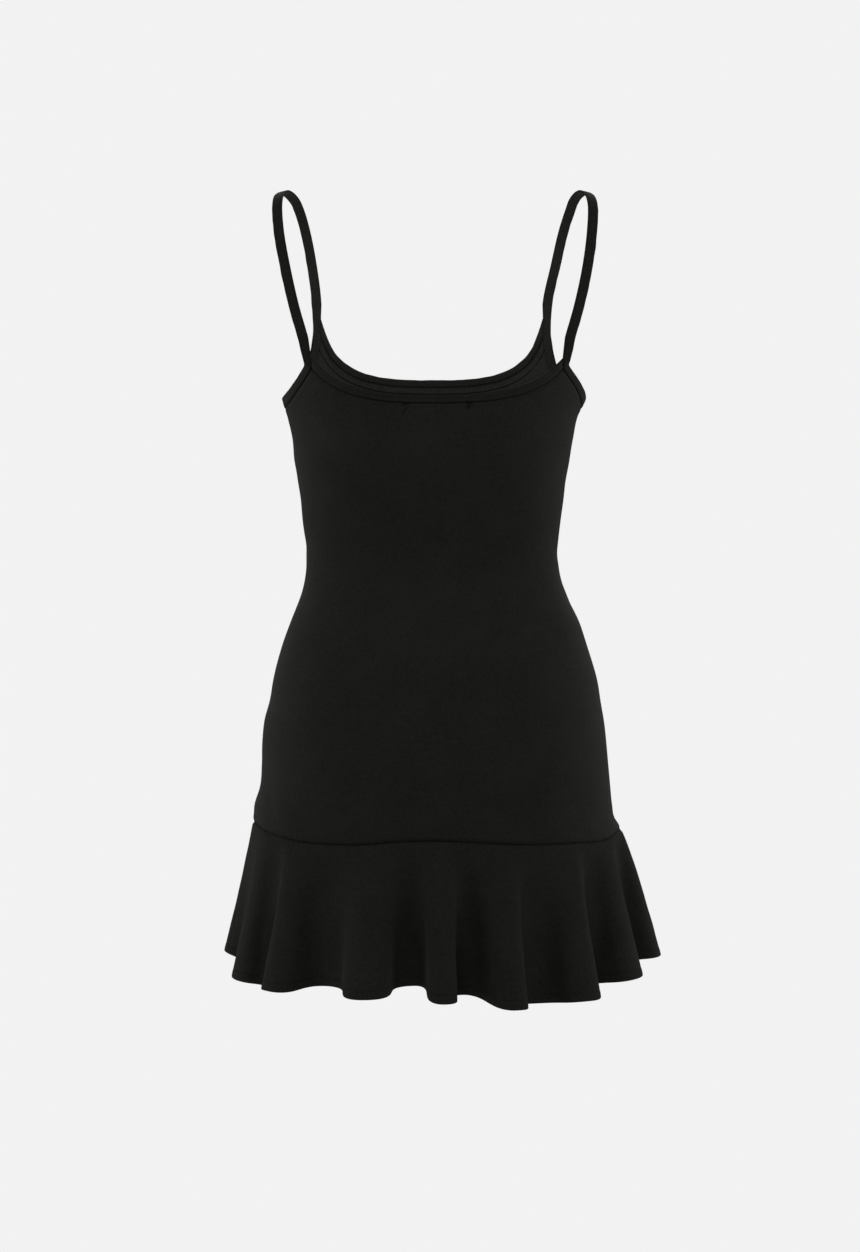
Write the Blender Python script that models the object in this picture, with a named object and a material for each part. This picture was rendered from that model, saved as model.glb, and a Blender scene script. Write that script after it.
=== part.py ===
"""Bodycon mini dress in black stretch jersey: thin straps, a scoop neck and a frill hem.

The dress is hollow and filled out as it is worn, with nobody in it. Each piece that is cut and sewn
on is one object. Metres, +Z up. The front faces -Y and the wearer's left side is at +X. The origin
is midway between the tops of the two straps, where the shoulders hold the dress up.

A place on the body's cloth is given by a turn and a height. The turn runs round the body in degrees:
0 at the left side seam, 90 at the centre back, 180 at the right side seam, 270 at the centre front.
Every piece of cloth is worked out along the middle of its thickness.
"""

import math
from collections import namedtuple

import bmesh
import bpy
import numpy as np

MM = 0.001
SEAM_GAP = 0.3 * MM

PANEL_THICKNESS = 1.2 * MM
FLOUNCE_THICKNESS = 1.2 * MM
BINDING_THICKNESS = 2.2 * MM
NECK_BAND_WIDTH = 8.3 * MM
STRAP_WIDTH = 9.9 * MM

# The body, one row for each level, in millimetres. "left", "right", "front" and "back" are how far
# the cloth stands out from the origin's vertical line on each side. "square" is the power of the
# section's superellipse: 2 is an ellipse, and a larger one is boxier.
Level = namedtuple("Level", "height left right front back square")
BODY = [
    Level(-110, 141.0, 141.0, 94, 94, 2.1),
    Level(-140, 143.5, 143.5, 99, 98, 2.1),
    Level(-175, 146.0, 147.0, 106, 101, 2.1),
    Level(-204, 146.5, 148.4, 112, 103, 2.1),
    Level(-222, 142.0, 141.0, 115, 103, 2.12),
    Level(-245, 136.7, 136.2, 116, 102, 2.15),
    Level(-266, 135.1, 132.8, 114, 100, 2.18),
    Level(-284, 132.0, 129.6, 109, 96, 2.2),
    Level(-304, 128.6, 127.0, 102, 90, 2.27),
    Level(-323, 127.0, 124.5, 95, 85, 2.25),
    Level(-352, 123.8, 121.8, 88, 78, 2.2),
    Level(-382, 124.7, 125.0, 88, 78, 2.2),
    Level(-402, 130.6, 132.4, 90, 83, 2.2),
    Level(-421, 138.0, 141.6, 93, 91, 2.2),
    Level(-441, 145.4, 148.5, 96, 100, 2.2),
    Level(-480, 155.8, 159.8, 100, 113, 2.2),
    Level(-500, 159.2, 163.2, 101, 117, 2.2),
    Level(-520, 164.4, 166.5, 102, 119, 2.2),
    Level(-540, 166.4, 168.8, 103, 120, 2.2),
    Level(-562, 166.8, 170.8, 104, 119, 2.2),
    Level(-584, 168.6, 172.8, 105, 117, 2.2),
    Level(-602, 174.2, 174.6, 106, 116, 2.15),
    Level(-614, 174.8, 176.6, 107, 116, 2.15),
    Level(-625, 176.9, 183.2, 108, 115, 2.15),
    Level(-640, 178.0, 188.0, 108, 115, 2.15),
]

# The seam between each panel and its neck binding. It is a U that starts level at the centre and
# rises by "rise" at its full reach, and it ends at the corner where the strap begins.
Neckline = namedtuple("Neckline", "centre rise reach_left reach_right corner_left corner_right bend")
NECKLINES = {
    "back": Neckline(-218.0, 91.0, 127.6, 136.2, 114.8, 122.8, 2.7),
    "front": Neckline(-184.3, 93.0, 116.8, 114.7, 113.2, 111.1, 3.17),
}

# The armhole seam leaves the underarm level and climbs to the corner ever more steeply. A larger
# "start" keeps it low for longer, and a "finish" below 1 brings it to the corner upright.
UNDERARM_SEAM = -213.5 * MM
Armhole = namedtuple("Armhole", "start finish")
ARMHOLES = {
    ("back", "left"): Armhole(3.1, 1.0),
    ("back", "right"): Armhole(2.05, 1.0),
    ("front", "left"): Armhole(2.6, 0.52),
    ("front", "right"): Armhole(3.0, 0.5),
}

# The middle of each strap from the back corner, over the shoulder, to the front corner, in mm.
Station = namedtuple("Station", "left_out right_out back up")
STRAP = [
    Station(123.4, 130.0, 69, -154.0),
    Station(131.3, 137.8, 71, -126.5),
    Station(140.5, 146.6, 69, -86.5),
    Station(147.3, 151.8, 59, -50.0),
    Station(150.0, 153.6, 39, -20.0),
    Station(149.0, 151.5, 20, -8.0),
    Station(145.0, 146.5, 3, -2.6),
    Station(137.0, 139.5, -19, -6.6),
    Station(132.5, 136.0, -37, -15.4),
    Station(128.2, 131.2, -52, -30.5),
    Station(121.8, 123.5, -64, -64.5),
    Station(117.3, 115.4, -67, -103.0),
]

# The strap is drawn in to this share of its width where it leaves a panel's corner.
CORNER_PINCH = {"back": 0.86, "front": 0.72}

# How much the strap's width climbs towards the neck where it lies over the shoulder.
SHOULDER_SLOPE = 0.25

# Where the frill is sewn on, and the ring that its folds wave about at the hem.
FLOUNCE_SEAM = -630.0 * MM
SIDE_LIFT = {"left": 9.0 * MM, "right": 5.0 * MM}
SIDE_LIFT_POWER = 8
HEM = Level(None, 195.0, 202.0, 150, 156, 2.1)
FLARE_POWER = 0.92

# The folds of the frill, in order round the body. A ridge stands "out" from the hem ring and the
# trough after it lies "inward" of it, in mm. The drops are from the seam to the hem. "curl" swings
# the sides of a fold under its head, in degrees of turn. A fold grows from nothing at the seam with
# the power "growth" of its depth, so that a small one starts high and a large one starts low.
Fold = namedtuple("Fold", "ridge out drop trough inward trough_drop curl growth")
FOLDS = [
    Fold(26, 13, 137, 36, 11, 134, 1.5, 1.2),
    Fold(44.5, 15, 137, 58, 14, 129.5, 1.5, 1.2),
    Fold(73, 14, 136, 85, 16, 127, 1.3, 1.4),
    Fold(92, 15, 139, 98, 12, 134, 1.1, 1.9),
    Fold(109, 17, 146, 116.5, 7, 143, 1.6, 1.4),
    Fold(131, 16, 142, 145, 16, 133, 2.0, 1.2),
    Fold(152, 16, 131.5, 162, 10, 124, 1.8, 1.1),
    Fold(173, 20, 120, 185, 14, 121, 1.9, 0.75),
    Fold(197, 14, 128, 208, 13, 127, 1.6, 1.3),
    Fold(219, 18, 136, 232, 12, 131, 1.9, 1.1),
    Fold(243, 12, 137, 254, 17, 132, 1.6, 1.6),
    Fold(264, 16, 141, 272, 11, 135, 1.5, 1.3),
    Fold(284, 17, 139, 298, 15, 132, 2.0, 1.2),
    Fold(310, 14, 137, 319, 12, 132, 1.4, 1.5),
    Fold(331, 16, 134, 342, 13, 129, 1.7, 1.2),
    Fold(353, 13, 129, 373, 12, 128, 1.9, 1.5),
]

# How finely the cloth is divided. PANEL_LEVELS are the heights of a panel's rows below its armholes,
# in mm, and UPPER_ROWS is the number of rows above the first of them.
ARMHOLE_STEPS = {"back": 8, "front": 10}
NECK_STEPS = {"back": 20, "front": 24}
UPPER_ROWS = 3
PANEL_LEVELS = [-238, -262, -287, -311, -332, -350, -366, -381, -396, -412, -430, -453, -480, -511,
                -545, -580, -602, -615]
STRAP_STEP = 9.0 * MM
STEPS_PER_HALF_FOLD = 6
FLOUNCE_ROWS = 8
FINE_STEPS = 40
SETTLING_ROUNDS = 12

# How far to each side a slope is measured: in degrees of turn, in height and in depth of the frill.
NORMAL_TURN = 0.5
NORMAL_HEIGHT = 1.0 * MM
FLOUNCE_NORMAL_TURN = 0.2
NORMAL_DEPTH = 0.01

SMOOTH_ANGLE = 50
JERSEY_ROUGHNESS = 0.92
BINDING_ROUGHNESS = 0.88

JERSEY_BLACK = (0.0103, 0.0103, 0.0095, 1.0)
BINDING_BLACK = (0.0115, 0.0115, 0.0107, 1.0)


def unit(vector):
    return vector / np.linalg.norm(vector)


def curve_through(keys, values):
    """A smooth curve through the points (key, value), as a function of the key."""
    keys = np.array(keys, float)
    values = np.array(values, float)
    order = np.argsort(keys)
    keys = keys[order]
    values = values[order]
    slopes = np.gradient(values, keys)

    def value_at(key):
        i = int(np.clip(np.searchsorted(keys, key) - 1, 0, len(keys) - 2))
        step = keys[i + 1] - keys[i]
        t = float(np.clip((key - keys[i]) / step, 0, 1))
        rise = 3 * t**2 - 2 * t**3
        leaving = t**3 - 2 * t**2 + t
        arriving = t**3 - t**2
        flat = values[i] * (1 - rise) + values[i + 1] * rise
        return flat + step * (slopes[i] * leaving + slopes[i + 1] * arriving)

    return value_at


def column(rows, name, scale=MM):
    """One column of a table of levels, as a smooth function of the height."""
    heights = [row.height * MM for row in rows]
    return curve_through(heights, [getattr(row, name) * scale for row in rows])


BODY_LEFT = column(BODY, "left")
BODY_RIGHT = column(BODY, "right")
BODY_FRONT = column(BODY, "front")
BODY_BACK = column(BODY, "back")
BODY_SQUARE = column(BODY, "square", scale=1.0)


def ring_point(turn, left, right, front, back, square):
    """A point of a horizontal ring: a superellipse with its own reach on each of its four sides."""
    cosine = math.cos(math.radians(turn))
    sine = math.sin(math.radians(turn))
    out = left if cosine >= 0 else right
    deep = back if sine >= 0 else front
    x = math.copysign(abs(cosine) ** (2 / square), cosine) * out
    y = math.copysign(abs(sine) ** (2 / square), sine) * deep
    return x, y


def body_point(turn, height):
    x, y = ring_point(
        turn,
        BODY_LEFT(height),
        BODY_RIGHT(height),
        BODY_FRONT(height),
        BODY_BACK(height),
        BODY_SQUARE(height),
    )
    return np.array([x, y, height])


def body_normal(turn, height):
    """The outward direction of the body's cloth."""
    along = body_point(turn + NORMAL_TURN, height) - body_point(turn - NORMAL_TURN, height)
    up = body_point(turn, height + NORMAL_HEIGHT) - body_point(turn, height - NORMAL_HEIGHT)
    return unit(np.cross(along, up))


def turn_at(across, height, face):
    """The turn at which the body's cloth is this far across, on its back or its front."""
    reach = BODY_LEFT(height) if across >= 0 else BODY_RIGHT(height)
    cosine = (abs(across) / reach) ** (BODY_SQUARE(height) / 2)
    turn = math.degrees(math.acos(math.copysign(cosine, across)))
    return turn if face == "back" else 360 - turn


# ---- the seams at the top of the panels ----


def neck_height(face, across):
    """The height of the neck seam at a distance across from the centre."""
    neck = NECKLINES[face]
    reach = (neck.reach_left if across >= 0 else neck.reach_right) * MM
    share = min(abs(across) / reach, 1)
    fall = (1 - share**neck.bend) ** (1 / neck.bend)
    return (neck.centre + neck.rise * (1 - fall)) * MM


def neck_height_at_turn(face, turn):
    """The height of the neck seam at a turn, found by settling, as the reach changes with height."""
    height = NECKLINES[face].centre * MM
    for _ in range(SETTLING_ROUNDS):
        height = neck_height(face, body_point(turn, height)[0])
    return height


def corner(face, side):
    """The turn and height of the corner where neck seam, armhole seam and strap meet."""
    neck = NECKLINES[face]
    across = neck.corner_left * MM if side == "left" else -neck.corner_right * MM
    height = neck_height(face, across)
    return turn_at(across, height, face), height


def armhole_height(face, side, turn):
    """The height of the armhole seam between the side seam and the corner."""
    corner_turn, corner_height = corner(face, side)
    seam_turn = {"left": 0 if face == "back" else 360, "right": 180}[side]
    share = min(abs((turn - seam_turn) / (corner_turn - seam_turn)), 1)
    armhole = ARMHOLES[face, side]
    risen = 1 - (1 - share**armhole.start) ** armhole.finish
    return UNDERARM_SEAM + (corner_height - UNDERARM_SEAM) * risen


class SeamRun:
    """A stretch of seam on the body's cloth, divided evenly along its length.

    "inward" is the direction in the cloth, square to the seam, that leads into the panel.
    """

    def __init__(self, height_at, start, end, steps):
        fine = np.linspace(start, end, FINE_STEPS * steps + 1)
        places = np.array([body_point(turn, height_at(turn)) for turn in fine])
        lengths = np.linalg.norm(np.diff(places, axis=0), axis=1)
        along = np.concatenate([[0], np.cumsum(lengths)])
        self.turns = np.interp(np.linspace(0, along[-1], steps + 1), along, fine)
        self.heights = [height_at(turn) for turn in self.turns]
        self.points = np.array([body_point(*at) for at in zip(self.turns, self.heights)])
        self.normals = np.array([body_normal(*at) for at in zip(self.turns, self.heights)])
        ways = np.gradient(self.points, axis=0)
        self.inward = np.array([unit(np.cross(w, n)) for w, n in zip(ways, self.normals)])


def face_runs(face):
    """The three runs along the top of a panel, in the order of their turns."""
    first = "left" if face == "back" else "right"
    last = "right" if face == "back" else "left"
    start = 0 if face == "back" else 180
    first_corner = corner(face, first)[0]
    last_corner = corner(face, last)[0]
    arm = ARMHOLE_STEPS[face]
    return (
        SeamRun(lambda turn: armhole_height(face, first, turn), start, first_corner, arm),
        SeamRun(lambda turn: neck_height_at_turn(face, turn), first_corner, last_corner,
                NECK_STEPS[face]),
        SeamRun(lambda turn: armhole_height(face, last, turn), last_corner, start + 180, arm),
    )


RUNS = {face: face_runs(face) for face in ("back", "front")}


def mitre(first, second):
    """The step that keeps the same distance from two edges that meet at a corner."""
    return (first + second) / (1 + first @ second)


# ---- turning points into closed bodies ----


def finish(name, bm, colour, roughness):
    """Makes one object of a mesh, with a material of its own."""
    bmesh.ops.recalc_face_normals(bm, faces=bm.faces)
    mesh = bpy.data.meshes.new(name)
    bm.to_mesh(mesh)
    bm.free()
    mesh.shade_smooth()
    mesh.set_sharp_from_angle(angle=math.radians(SMOOTH_ANGLE))
    made = bpy.data.objects.new(name, mesh)
    bpy.context.scene.collection.objects.link(made)
    cloth = bpy.data.materials.new(name + "_cloth")
    cloth.use_nodes = True
    shader = cloth.node_tree.nodes["Principled BSDF"]
    shader.inputs["Base Color"].default_value = colour
    shader.inputs["Roughness"].default_value = roughness
    shader.inputs["Metallic"].default_value = 0.0
    mesh.materials.append(cloth)
    return made


def wall(name, points, normals, thickness, colour):
    """A wall of cloth round a grid of points that lie along the middle of its thickness."""
    bm = bmesh.new()
    skins = []
    for side in (0.5, -0.5):
        places = points + normals * thickness * side
        skins.append([[bm.verts.new(place) for place in row] for row in places])
    rows = len(points)
    columns = len(points[0])
    for skin in skins:
        for r in range(rows - 1):
            for c in range(columns - 1):
                bm.faces.new((skin[r][c], skin[r + 1][c], skin[r + 1][c + 1], skin[r][c + 1]))
    rim = [(0, c) for c in range(columns)]
    rim += [(r, columns - 1) for r in range(1, rows)]
    rim += [(rows - 1, c) for c in range(columns - 2, -1, -1)]
    rim += [(r, 0) for r in range(rows - 2, 0, -1)]
    outer, inner = skins
    for (r, c), (next_r, next_c) in zip(rim, rim[1:] + rim[:1]):
        bm.faces.new((outer[r][c], outer[next_r][next_c], inner[next_r][next_c], inner[r][c]))
    return finish(name, bm, colour, JERSEY_ROUGHNESS)


# The section of a binding: how far across it each point lies, and its share of the thickness.
BINDING_SECTION = [(0.0, 0.34), (0.5, 0.5), (1.0, 0.34), (1.0, -0.34), (0.5, -0.5), (0.0, -0.34)]


def binding(name, inner, outer, normals, closed):
    """A folded strip between its two edges, a little fuller along its middle."""
    bm = bmesh.new()
    rings = []
    for start, end, normal in zip(inner, outer, normals):
        ring = []
        for across, share in BINDING_SECTION:
            place = start + (end - start) * across + normal * share * BINDING_THICKNESS
            ring.append(bm.verts.new(place))
        rings.append(ring)
    pairs = list(zip(rings, rings[1:]))
    if closed:
        pairs.append((rings[-1], rings[0]))
    else:
        bm.faces.new(rings[0])
        bm.faces.new(rings[-1])
    sides = len(BINDING_SECTION)
    for ring, after in pairs:
        for i in range(sides):
            j = (i + 1) % sides
            bm.faces.new((ring[i], ring[j], after[j], after[i]))
    return finish(name, bm, BINDING_BLACK, BINDING_ROUGHNESS)


# ---- the panels ----


def flounce_seam_height(turn):
    """The seam of the frill is level, but for a lift at each side seam."""
    cosine = math.cos(math.radians(turn))
    lift = SIDE_LIFT["left"] if cosine >= 0 else SIDE_LIFT["right"]
    return FLOUNCE_SEAM + lift * abs(cosine) ** SIDE_LIFT_POWER


def panel(name, face):
    """A fitted panel from side seam to side seam, its top edge cut along the three runs."""
    first, neck, last = RUNS[face]
    turns = np.concatenate([first.turns, neck.turns[1:], last.turns[1:]])
    heights = np.concatenate([first.heights, neck.heights[1:], last.heights[1:]])
    points = np.concatenate([first.points, neck.points[1:], last.points[1:]])
    steps = np.concatenate(
        [
            first.inward[:-1],
            [mitre(first.inward[-1], neck.inward[0])],
            neck.inward[1:-1],
            [mitre(neck.inward[-1], last.inward[0])],
            last.inward[1:],
        ]
    )
    edge = points + steps * SEAM_GAP / 2
    grid = [edge]
    ways = [np.array([body_normal(*at) for at in zip(turns, heights)])]
    upper = PANEL_LEVELS[0] * MM
    rows = [heights + (upper - heights) * row / UPPER_ROWS for row in range(1, UPPER_ROWS)]
    rows += [np.full(len(turns), level * MM) for level in PANEL_LEVELS]
    rows.append(np.array([flounce_seam_height(turn) + SEAM_GAP / 2 for turn in turns]))
    for levels in rows:
        grid.append(np.array([body_point(*at) for at in zip(turns, levels)]))
        ways.append(np.array([body_normal(*at) for at in zip(turns, levels)]))
    grid = np.array(grid)
    from_seam = SEAM_GAP / 2 if face == "back" else -SEAM_GAP / 2
    grid[:, 0, 1] += from_seam
    grid[:, -1, 1] += from_seam
    return wall(name, grid, np.array(ways), PANEL_THICKNESS, JERSEY_BLACK)


# ---- the straps, each one strip with the binding of its armhole ----


def strap_line(side, ends):
    """The middle of the free strap between its two corners, divided evenly."""
    sign = 1 if side == "left" else -1
    rows = [
        np.array([sign * getattr(row, side + "_out"), row.back, row.up]) * MM for row in STRAP
    ]
    knots = [ends[0], *rows, ends[1]]
    chords = [np.linalg.norm(b - a) for a, b in zip(knots, knots[1:])]
    along = np.concatenate([[0], np.cumsum(chords)])
    curves = [curve_through(along, [knot[axis] for knot in knots]) for axis in range(3)]
    # The first and last stretch stay straight, because the ends of the neck bindings lie there.
    steps = round((along[-2] - along[1]) / STRAP_STEP)
    places = np.linspace(along[1], along[-2], steps + 1)
    return np.array([[curve(place) for curve in curves] for place in places])


class StrapLoop:
    """The edges of one strip that runs from the underarm over the shoulder and back."""

    def __init__(self, side):
        if side == "left":
            up, down = RUNS["back"][0], RUNS["front"][2]
        else:
            up, down = RUNS["front"][0], RUNS["back"][2]
        neckward = np.array([-1.0 if side == "left" else 1.0, 0, SHOULDER_SLOPE])
        half = STRAP_WIDTH / 2 + SEAM_GAP / 2
        ends = [up.points[-1] - up.inward[-1] * half, down.points[0] - down.inward[0] * half]
        if side == "left":
            free = strap_line(side, ends)
        else:
            free = strap_line(side, ends[::-1])[::-1]
        ways = np.gradient(np.concatenate([[ends[0]], free, [ends[1]]]), axis=0)[1:-1]
        ways = np.array([unit(way) for way in ways])
        widths = np.array([unit(neckward - way * (neckward @ way)) for way in ways])
        self.free_inner = free + widths * STRAP_WIDTH / 2
        free_outer = free - widths * STRAP_WIDTH / 2
        free_normals = np.cross(widths, ways)
        inner = []
        outer = []
        normals = []
        for run, leaving in ((up, True), (down, False)):
            pinch = CORNER_PINCH["back" if leaving == (side == "left") else "front"]
            for i, point in enumerate(run.points):
                at_corner = i == (len(run.points) - 1 if leaving else 0)
                at_underarm = i == (0 if leaving else len(run.points) - 1)
                if at_underarm and not leaving:
                    continue
                start = point - run.inward[i] * SEAM_GAP / 2
                if at_corner:
                    meets = widths[0] if leaving else widths[-1]
                    step = unit(run.inward[i] + meets) * pinch
                    normal = unit(run.normals[i] + (free_normals[0] if leaving else free_normals[-1]))
                else:
                    step = run.inward[i]
                    normal = run.normals[i]
                inner.append(start)
                outer.append(start - step * STRAP_WIDTH)
                normals.append(normal)
            if leaving:
                self.up_corner = inner[-1]
                inner.extend(self.free_inner)
                outer.extend(free_outer)
                normals.extend(free_normals)
            else:
                self.down_corner = inner[-(len(run.points) - 1)]
        self.inner = np.array(inner)
        self.outer = np.array(outer)
        self.normals = np.array(normals)

    def edge_way(self, at):
        """The direction in which the strap's neck side leaves a corner."""
        if at == "up":
            return unit(self.free_inner[0] - self.up_corner)
        return unit(self.free_inner[-1] - self.down_corner)


STRAPS = {side: StrapLoop(side) for side in ("left", "right")}


def neck_binding(name, face):
    """The strip along the neck edge, its ends cut to lie along the straps."""
    neck = RUNS[face][1]
    inner = neck.points - neck.inward * SEAM_GAP / 2
    outer = inner - neck.inward * NECK_BAND_WIDTH
    if face == "back":
        ways = [STRAPS["left"].edge_way("up"), STRAPS["right"].edge_way("down")]
    else:
        ways = [STRAPS["right"].edge_way("up"), STRAPS["left"].edge_way("down")]
    towards = [unit(neck.points[1] - neck.points[0]), unit(neck.points[-2] - neck.points[-1])]
    for end, way, along in zip((0, -1), ways, towards):
        up = -neck.inward[end]
        away = unit(along - way * (along @ way))
        clear = SEAM_GAP / (away @ along)
        inner[end] = inner[end] + along * clear
        outer[end] = inner[end] + way * NECK_BAND_WIDTH / (way @ up)
    return binding(name, inner, outer, neck.normals, closed=False)


# ---- the frill ----


Place = namedtuple("Place", "turn out drop growth")


def half_folds():
    """Each stretch between a ridge and a trough, as two places of a fold and the curl between."""
    stretches = []
    for fold, after in zip(FOLDS, FOLDS[1:] + FOLDS[:1]):
        wrap = 0 if after.ridge > fold.ridge else 360
        growth = (fold.growth + after.growth) / 2
        ridge = Place(fold.ridge, fold.out, fold.drop, fold.growth)
        trough = Place(fold.trough, -fold.inward, fold.trough_drop, growth)
        next_ridge = Place(after.ridge + wrap, after.out, after.drop, after.growth)
        stretches.append((ridge, trough, fold.curl))
        stretches.append((trough, next_ridge, (fold.curl + after.curl) / 2))
    return stretches


HALF_FOLDS = half_folds()
FIRST_RIDGE = FOLDS[0].ridge


def flounce_point(turn, depth):
    """A point of the frill, from 0 at its seam to 1 at its hem."""
    turn = (turn - FIRST_RIDGE) % 360 + FIRST_RIDGE
    for a, b, curl in HALF_FOLDS:
        if turn <= b.turn:
            break
    phase = (turn - a.turn) / (b.turn - a.turn)
    blend = (1 - math.cos(math.pi * phase)) / 2
    grown = depth ** (a.growth + (b.growth - a.growth) * blend)
    out = (a.out + (b.out - a.out) * blend) * MM * grown
    drop = (a.drop + (b.drop - a.drop) * blend) * MM
    swung = turn + curl * math.sin(2 * math.pi * phase) * grown
    seam = flounce_seam_height(turn)
    flare = depth**FLARE_POWER
    sizes = []
    for name, at in (("left", BODY_LEFT), ("right", BODY_RIGHT), ("front", BODY_FRONT),
                     ("back", BODY_BACK)):
        top = at(seam)
        sizes.append(top + (getattr(HEM, name) * MM - top) * flare)
    sizes.append(BODY_SQUARE(seam) + (HEM.square - BODY_SQUARE(seam)) * flare)
    here = np.array(ring_point(swung, *sizes))
    ahead = np.array(ring_point(swung + NORMAL_TURN, *sizes))
    behind = np.array(ring_point(swung - NORMAL_TURN, *sizes))
    way = unit(ahead - behind)
    x, y = here + np.array([way[1], -way[0]]) * out
    return np.array([x, y, seam - SEAM_GAP / 2 - drop * depth])


def flounce_normal(turn, depth):
    """The outward direction of the frill's cloth."""
    low = min(depth + NORMAL_DEPTH, 1.0)
    high = max(depth - NORMAL_DEPTH, 0.0)
    step = FLOUNCE_NORMAL_TURN
    along = flounce_point(turn + step, depth) - flounce_point(turn - step, depth)
    up = flounce_point(turn, high) - flounce_point(turn, low)
    return unit(np.cross(along, up))


def flounce_turns(start, end):
    """Turns that divide each half fold evenly, with one exactly on each side seam."""
    turns = []
    for a, b, _ in HALF_FOLDS:
        turns.extend(np.linspace(a.turn, b.turn, STEPS_PER_HALF_FOLD, endpoint=False))
    turns = np.sort(np.array(turns) % 360)
    for seam in (0, 180):
        nearest = int(np.argmin(np.abs((turns - seam + 180) % 360 - 180)))
        turns[nearest] = seam
    turns = np.unique(turns)
    inside = turns[(turns > start) & (turns < end)]
    return np.concatenate([[start], inside, [end]])


def flounce(name, start, end):
    """Half of the frill, from one side seam to the other."""
    turns = flounce_turns(start, end)
    depths = np.linspace(0, 1, FLOUNCE_ROWS + 1)
    grid = np.array([[flounce_point(turn, depth) for turn in turns] for depth in depths])
    ways = np.array([[flounce_normal(turn, depth) for turn in turns] for depth in depths])
    for side, step in ((0, 1), (-1, -1)):
        along = grid[:, side + step] - grid[:, side]
        lengths = np.linalg.norm(along, axis=1, keepdims=True)
        grid[:, side] += along / lengths * SEAM_GAP / 2
    return wall(name, grid, ways, FLOUNCE_THICKNESS, JERSEY_BLACK)


def build():
    for old in list(bpy.data.objects):
        bpy.data.objects.remove(old, do_unlink=True)
    panel("back_panel", "back")
    panel("front_panel", "front")
    neck_binding("back_neck_binding", "back")
    neck_binding("front_neck_binding", "front")
    for side, loop in STRAPS.items():
        binding(side + "_armhole_strap", loop.inner, loop.outer, loop.normals, closed=True)
    flounce("back_flounce", 0, 180)
    flounce("front_flounce", 180, 360)


build()
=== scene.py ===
# %% [markdown]
# # A black bodycon dress
#
# This lesson makes the looks of a short strappy dress in stretch jersey with a frill hem, hollow
# and filled out as worn. The frame holds a plain solid for each of its eight sewn pieces: two
# body panels, two neck bands, two long strips that are armhole band and strap in one, and two
# halves of the frill. Each gets a thin closed shell of cloth here, in the same place.
#
# Everything is in metres, with Z up. The front faces -Y and the wearer's left side is at +X.

# %% Load the frame
import math
from collections import namedtuple

import bmesh
import bpy
import numpy as np
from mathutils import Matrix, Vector


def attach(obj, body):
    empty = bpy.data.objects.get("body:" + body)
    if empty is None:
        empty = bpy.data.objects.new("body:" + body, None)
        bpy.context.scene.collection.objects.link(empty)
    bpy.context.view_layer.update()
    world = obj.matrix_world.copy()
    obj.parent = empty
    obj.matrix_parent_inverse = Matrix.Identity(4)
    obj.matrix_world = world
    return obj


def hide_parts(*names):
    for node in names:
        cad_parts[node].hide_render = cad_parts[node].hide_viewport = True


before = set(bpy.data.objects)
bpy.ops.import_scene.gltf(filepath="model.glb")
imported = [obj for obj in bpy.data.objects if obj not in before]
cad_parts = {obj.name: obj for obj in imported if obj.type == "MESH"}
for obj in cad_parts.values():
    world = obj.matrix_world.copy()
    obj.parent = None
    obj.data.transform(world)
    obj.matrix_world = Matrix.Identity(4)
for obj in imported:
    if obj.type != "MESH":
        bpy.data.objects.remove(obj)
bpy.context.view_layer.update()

MM = 0.001
print("solids in the frame:", sorted(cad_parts))

# %% [markdown]
# ## Numbers that can be bent
#
# Cloth is made here as a grid of points, because a grid can follow a pattern piece: its rows run
# with the edge and its columns run down the cloth. Thousands of points are quick only when whole
# tables are worked on at once, so every helper takes arrays. `waves` gives the small wandering
# that sewn cloth has, the same on each run.

# %% Helpers for arrays
def unit(vectors):
    return vectors / np.linalg.norm(vectors, axis=-1, keepdims=True)


def dot(first, second):
    return (first * second).sum(-1)


def together(*axes):
    """Points from their coordinates, which are stretched to one shape."""
    return np.stack(np.broadcast_arrays(*axes), axis=-1)


def curve_through(keys, values):
    """A smooth curve through the points (key, value), as a function of the key."""
    order = np.argsort(keys)
    keys, values = np.array(keys, float)[order], np.array(values, float)[order]
    slopes = np.gradient(values, keys)

    def value_at(key):
        i = np.clip(np.searchsorted(keys, key) - 1, 0, len(keys) - 2)
        step = keys[i + 1] - keys[i]
        t = np.clip((key - keys[i]) / step, 0, 1)
        rise = 3 * t**2 - 2 * t**3
        leaving = t**3 - 2 * t**2 + t
        arriving = t**3 - t**2
        flat = values[i] * (1 - rise) + values[i + 1] * rise
        return flat + step * (slopes[i] * leaving + slopes[i + 1] * arriving)

    return value_at


def bump(distance, width):
    """1 at no distance, and soft down to nothing a few widths away."""
    return np.exp(-((distance / width) ** 2))


def waves(places, length, seed):
    """Uneven waves between about -1 and 1, with crests about one length apart."""
    draw = np.random.default_rng(seed)
    total = 0
    for share in (0.61, 0.83, 1.0, 1.37, 1.9):
        start = draw.uniform(0, 2 * math.pi)
        total = total + np.sin(2 * math.pi * places / (length * share) + start)
    # five waves together seldom rise above this
    return total / 3.2


def lengths_along(points):
    """The distance along a row of points, from the first."""
    steps = np.linalg.norm(np.diff(points, axis=0), axis=1)
    return np.concatenate([[0], np.cumsum(steps)])


CLOSE = np.array([0, 0.5, 1.0, 1.7, 2.6, 3.8, 5.2]) * MM


def spaced(length, step, start_close=False, end_close=False):
    """Places along a length, a step apart, and close together at an end that asks for it."""
    first = CLOSE if start_close else CLOSE[:1]
    last = length - (CLOSE[::-1] if end_close else CLOSE[:1])
    count = max(round((last[0] - first[-1]) / step), 1)
    middle = np.linspace(first[-1], last[0], count + 1)
    return np.concatenate([first[:-1], middle, last[1:]])


print("a smooth curve through 0, 1, 0 at its quarter:", curve_through([0, 1, 2], [0, 1, 0])(0.5))

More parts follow.
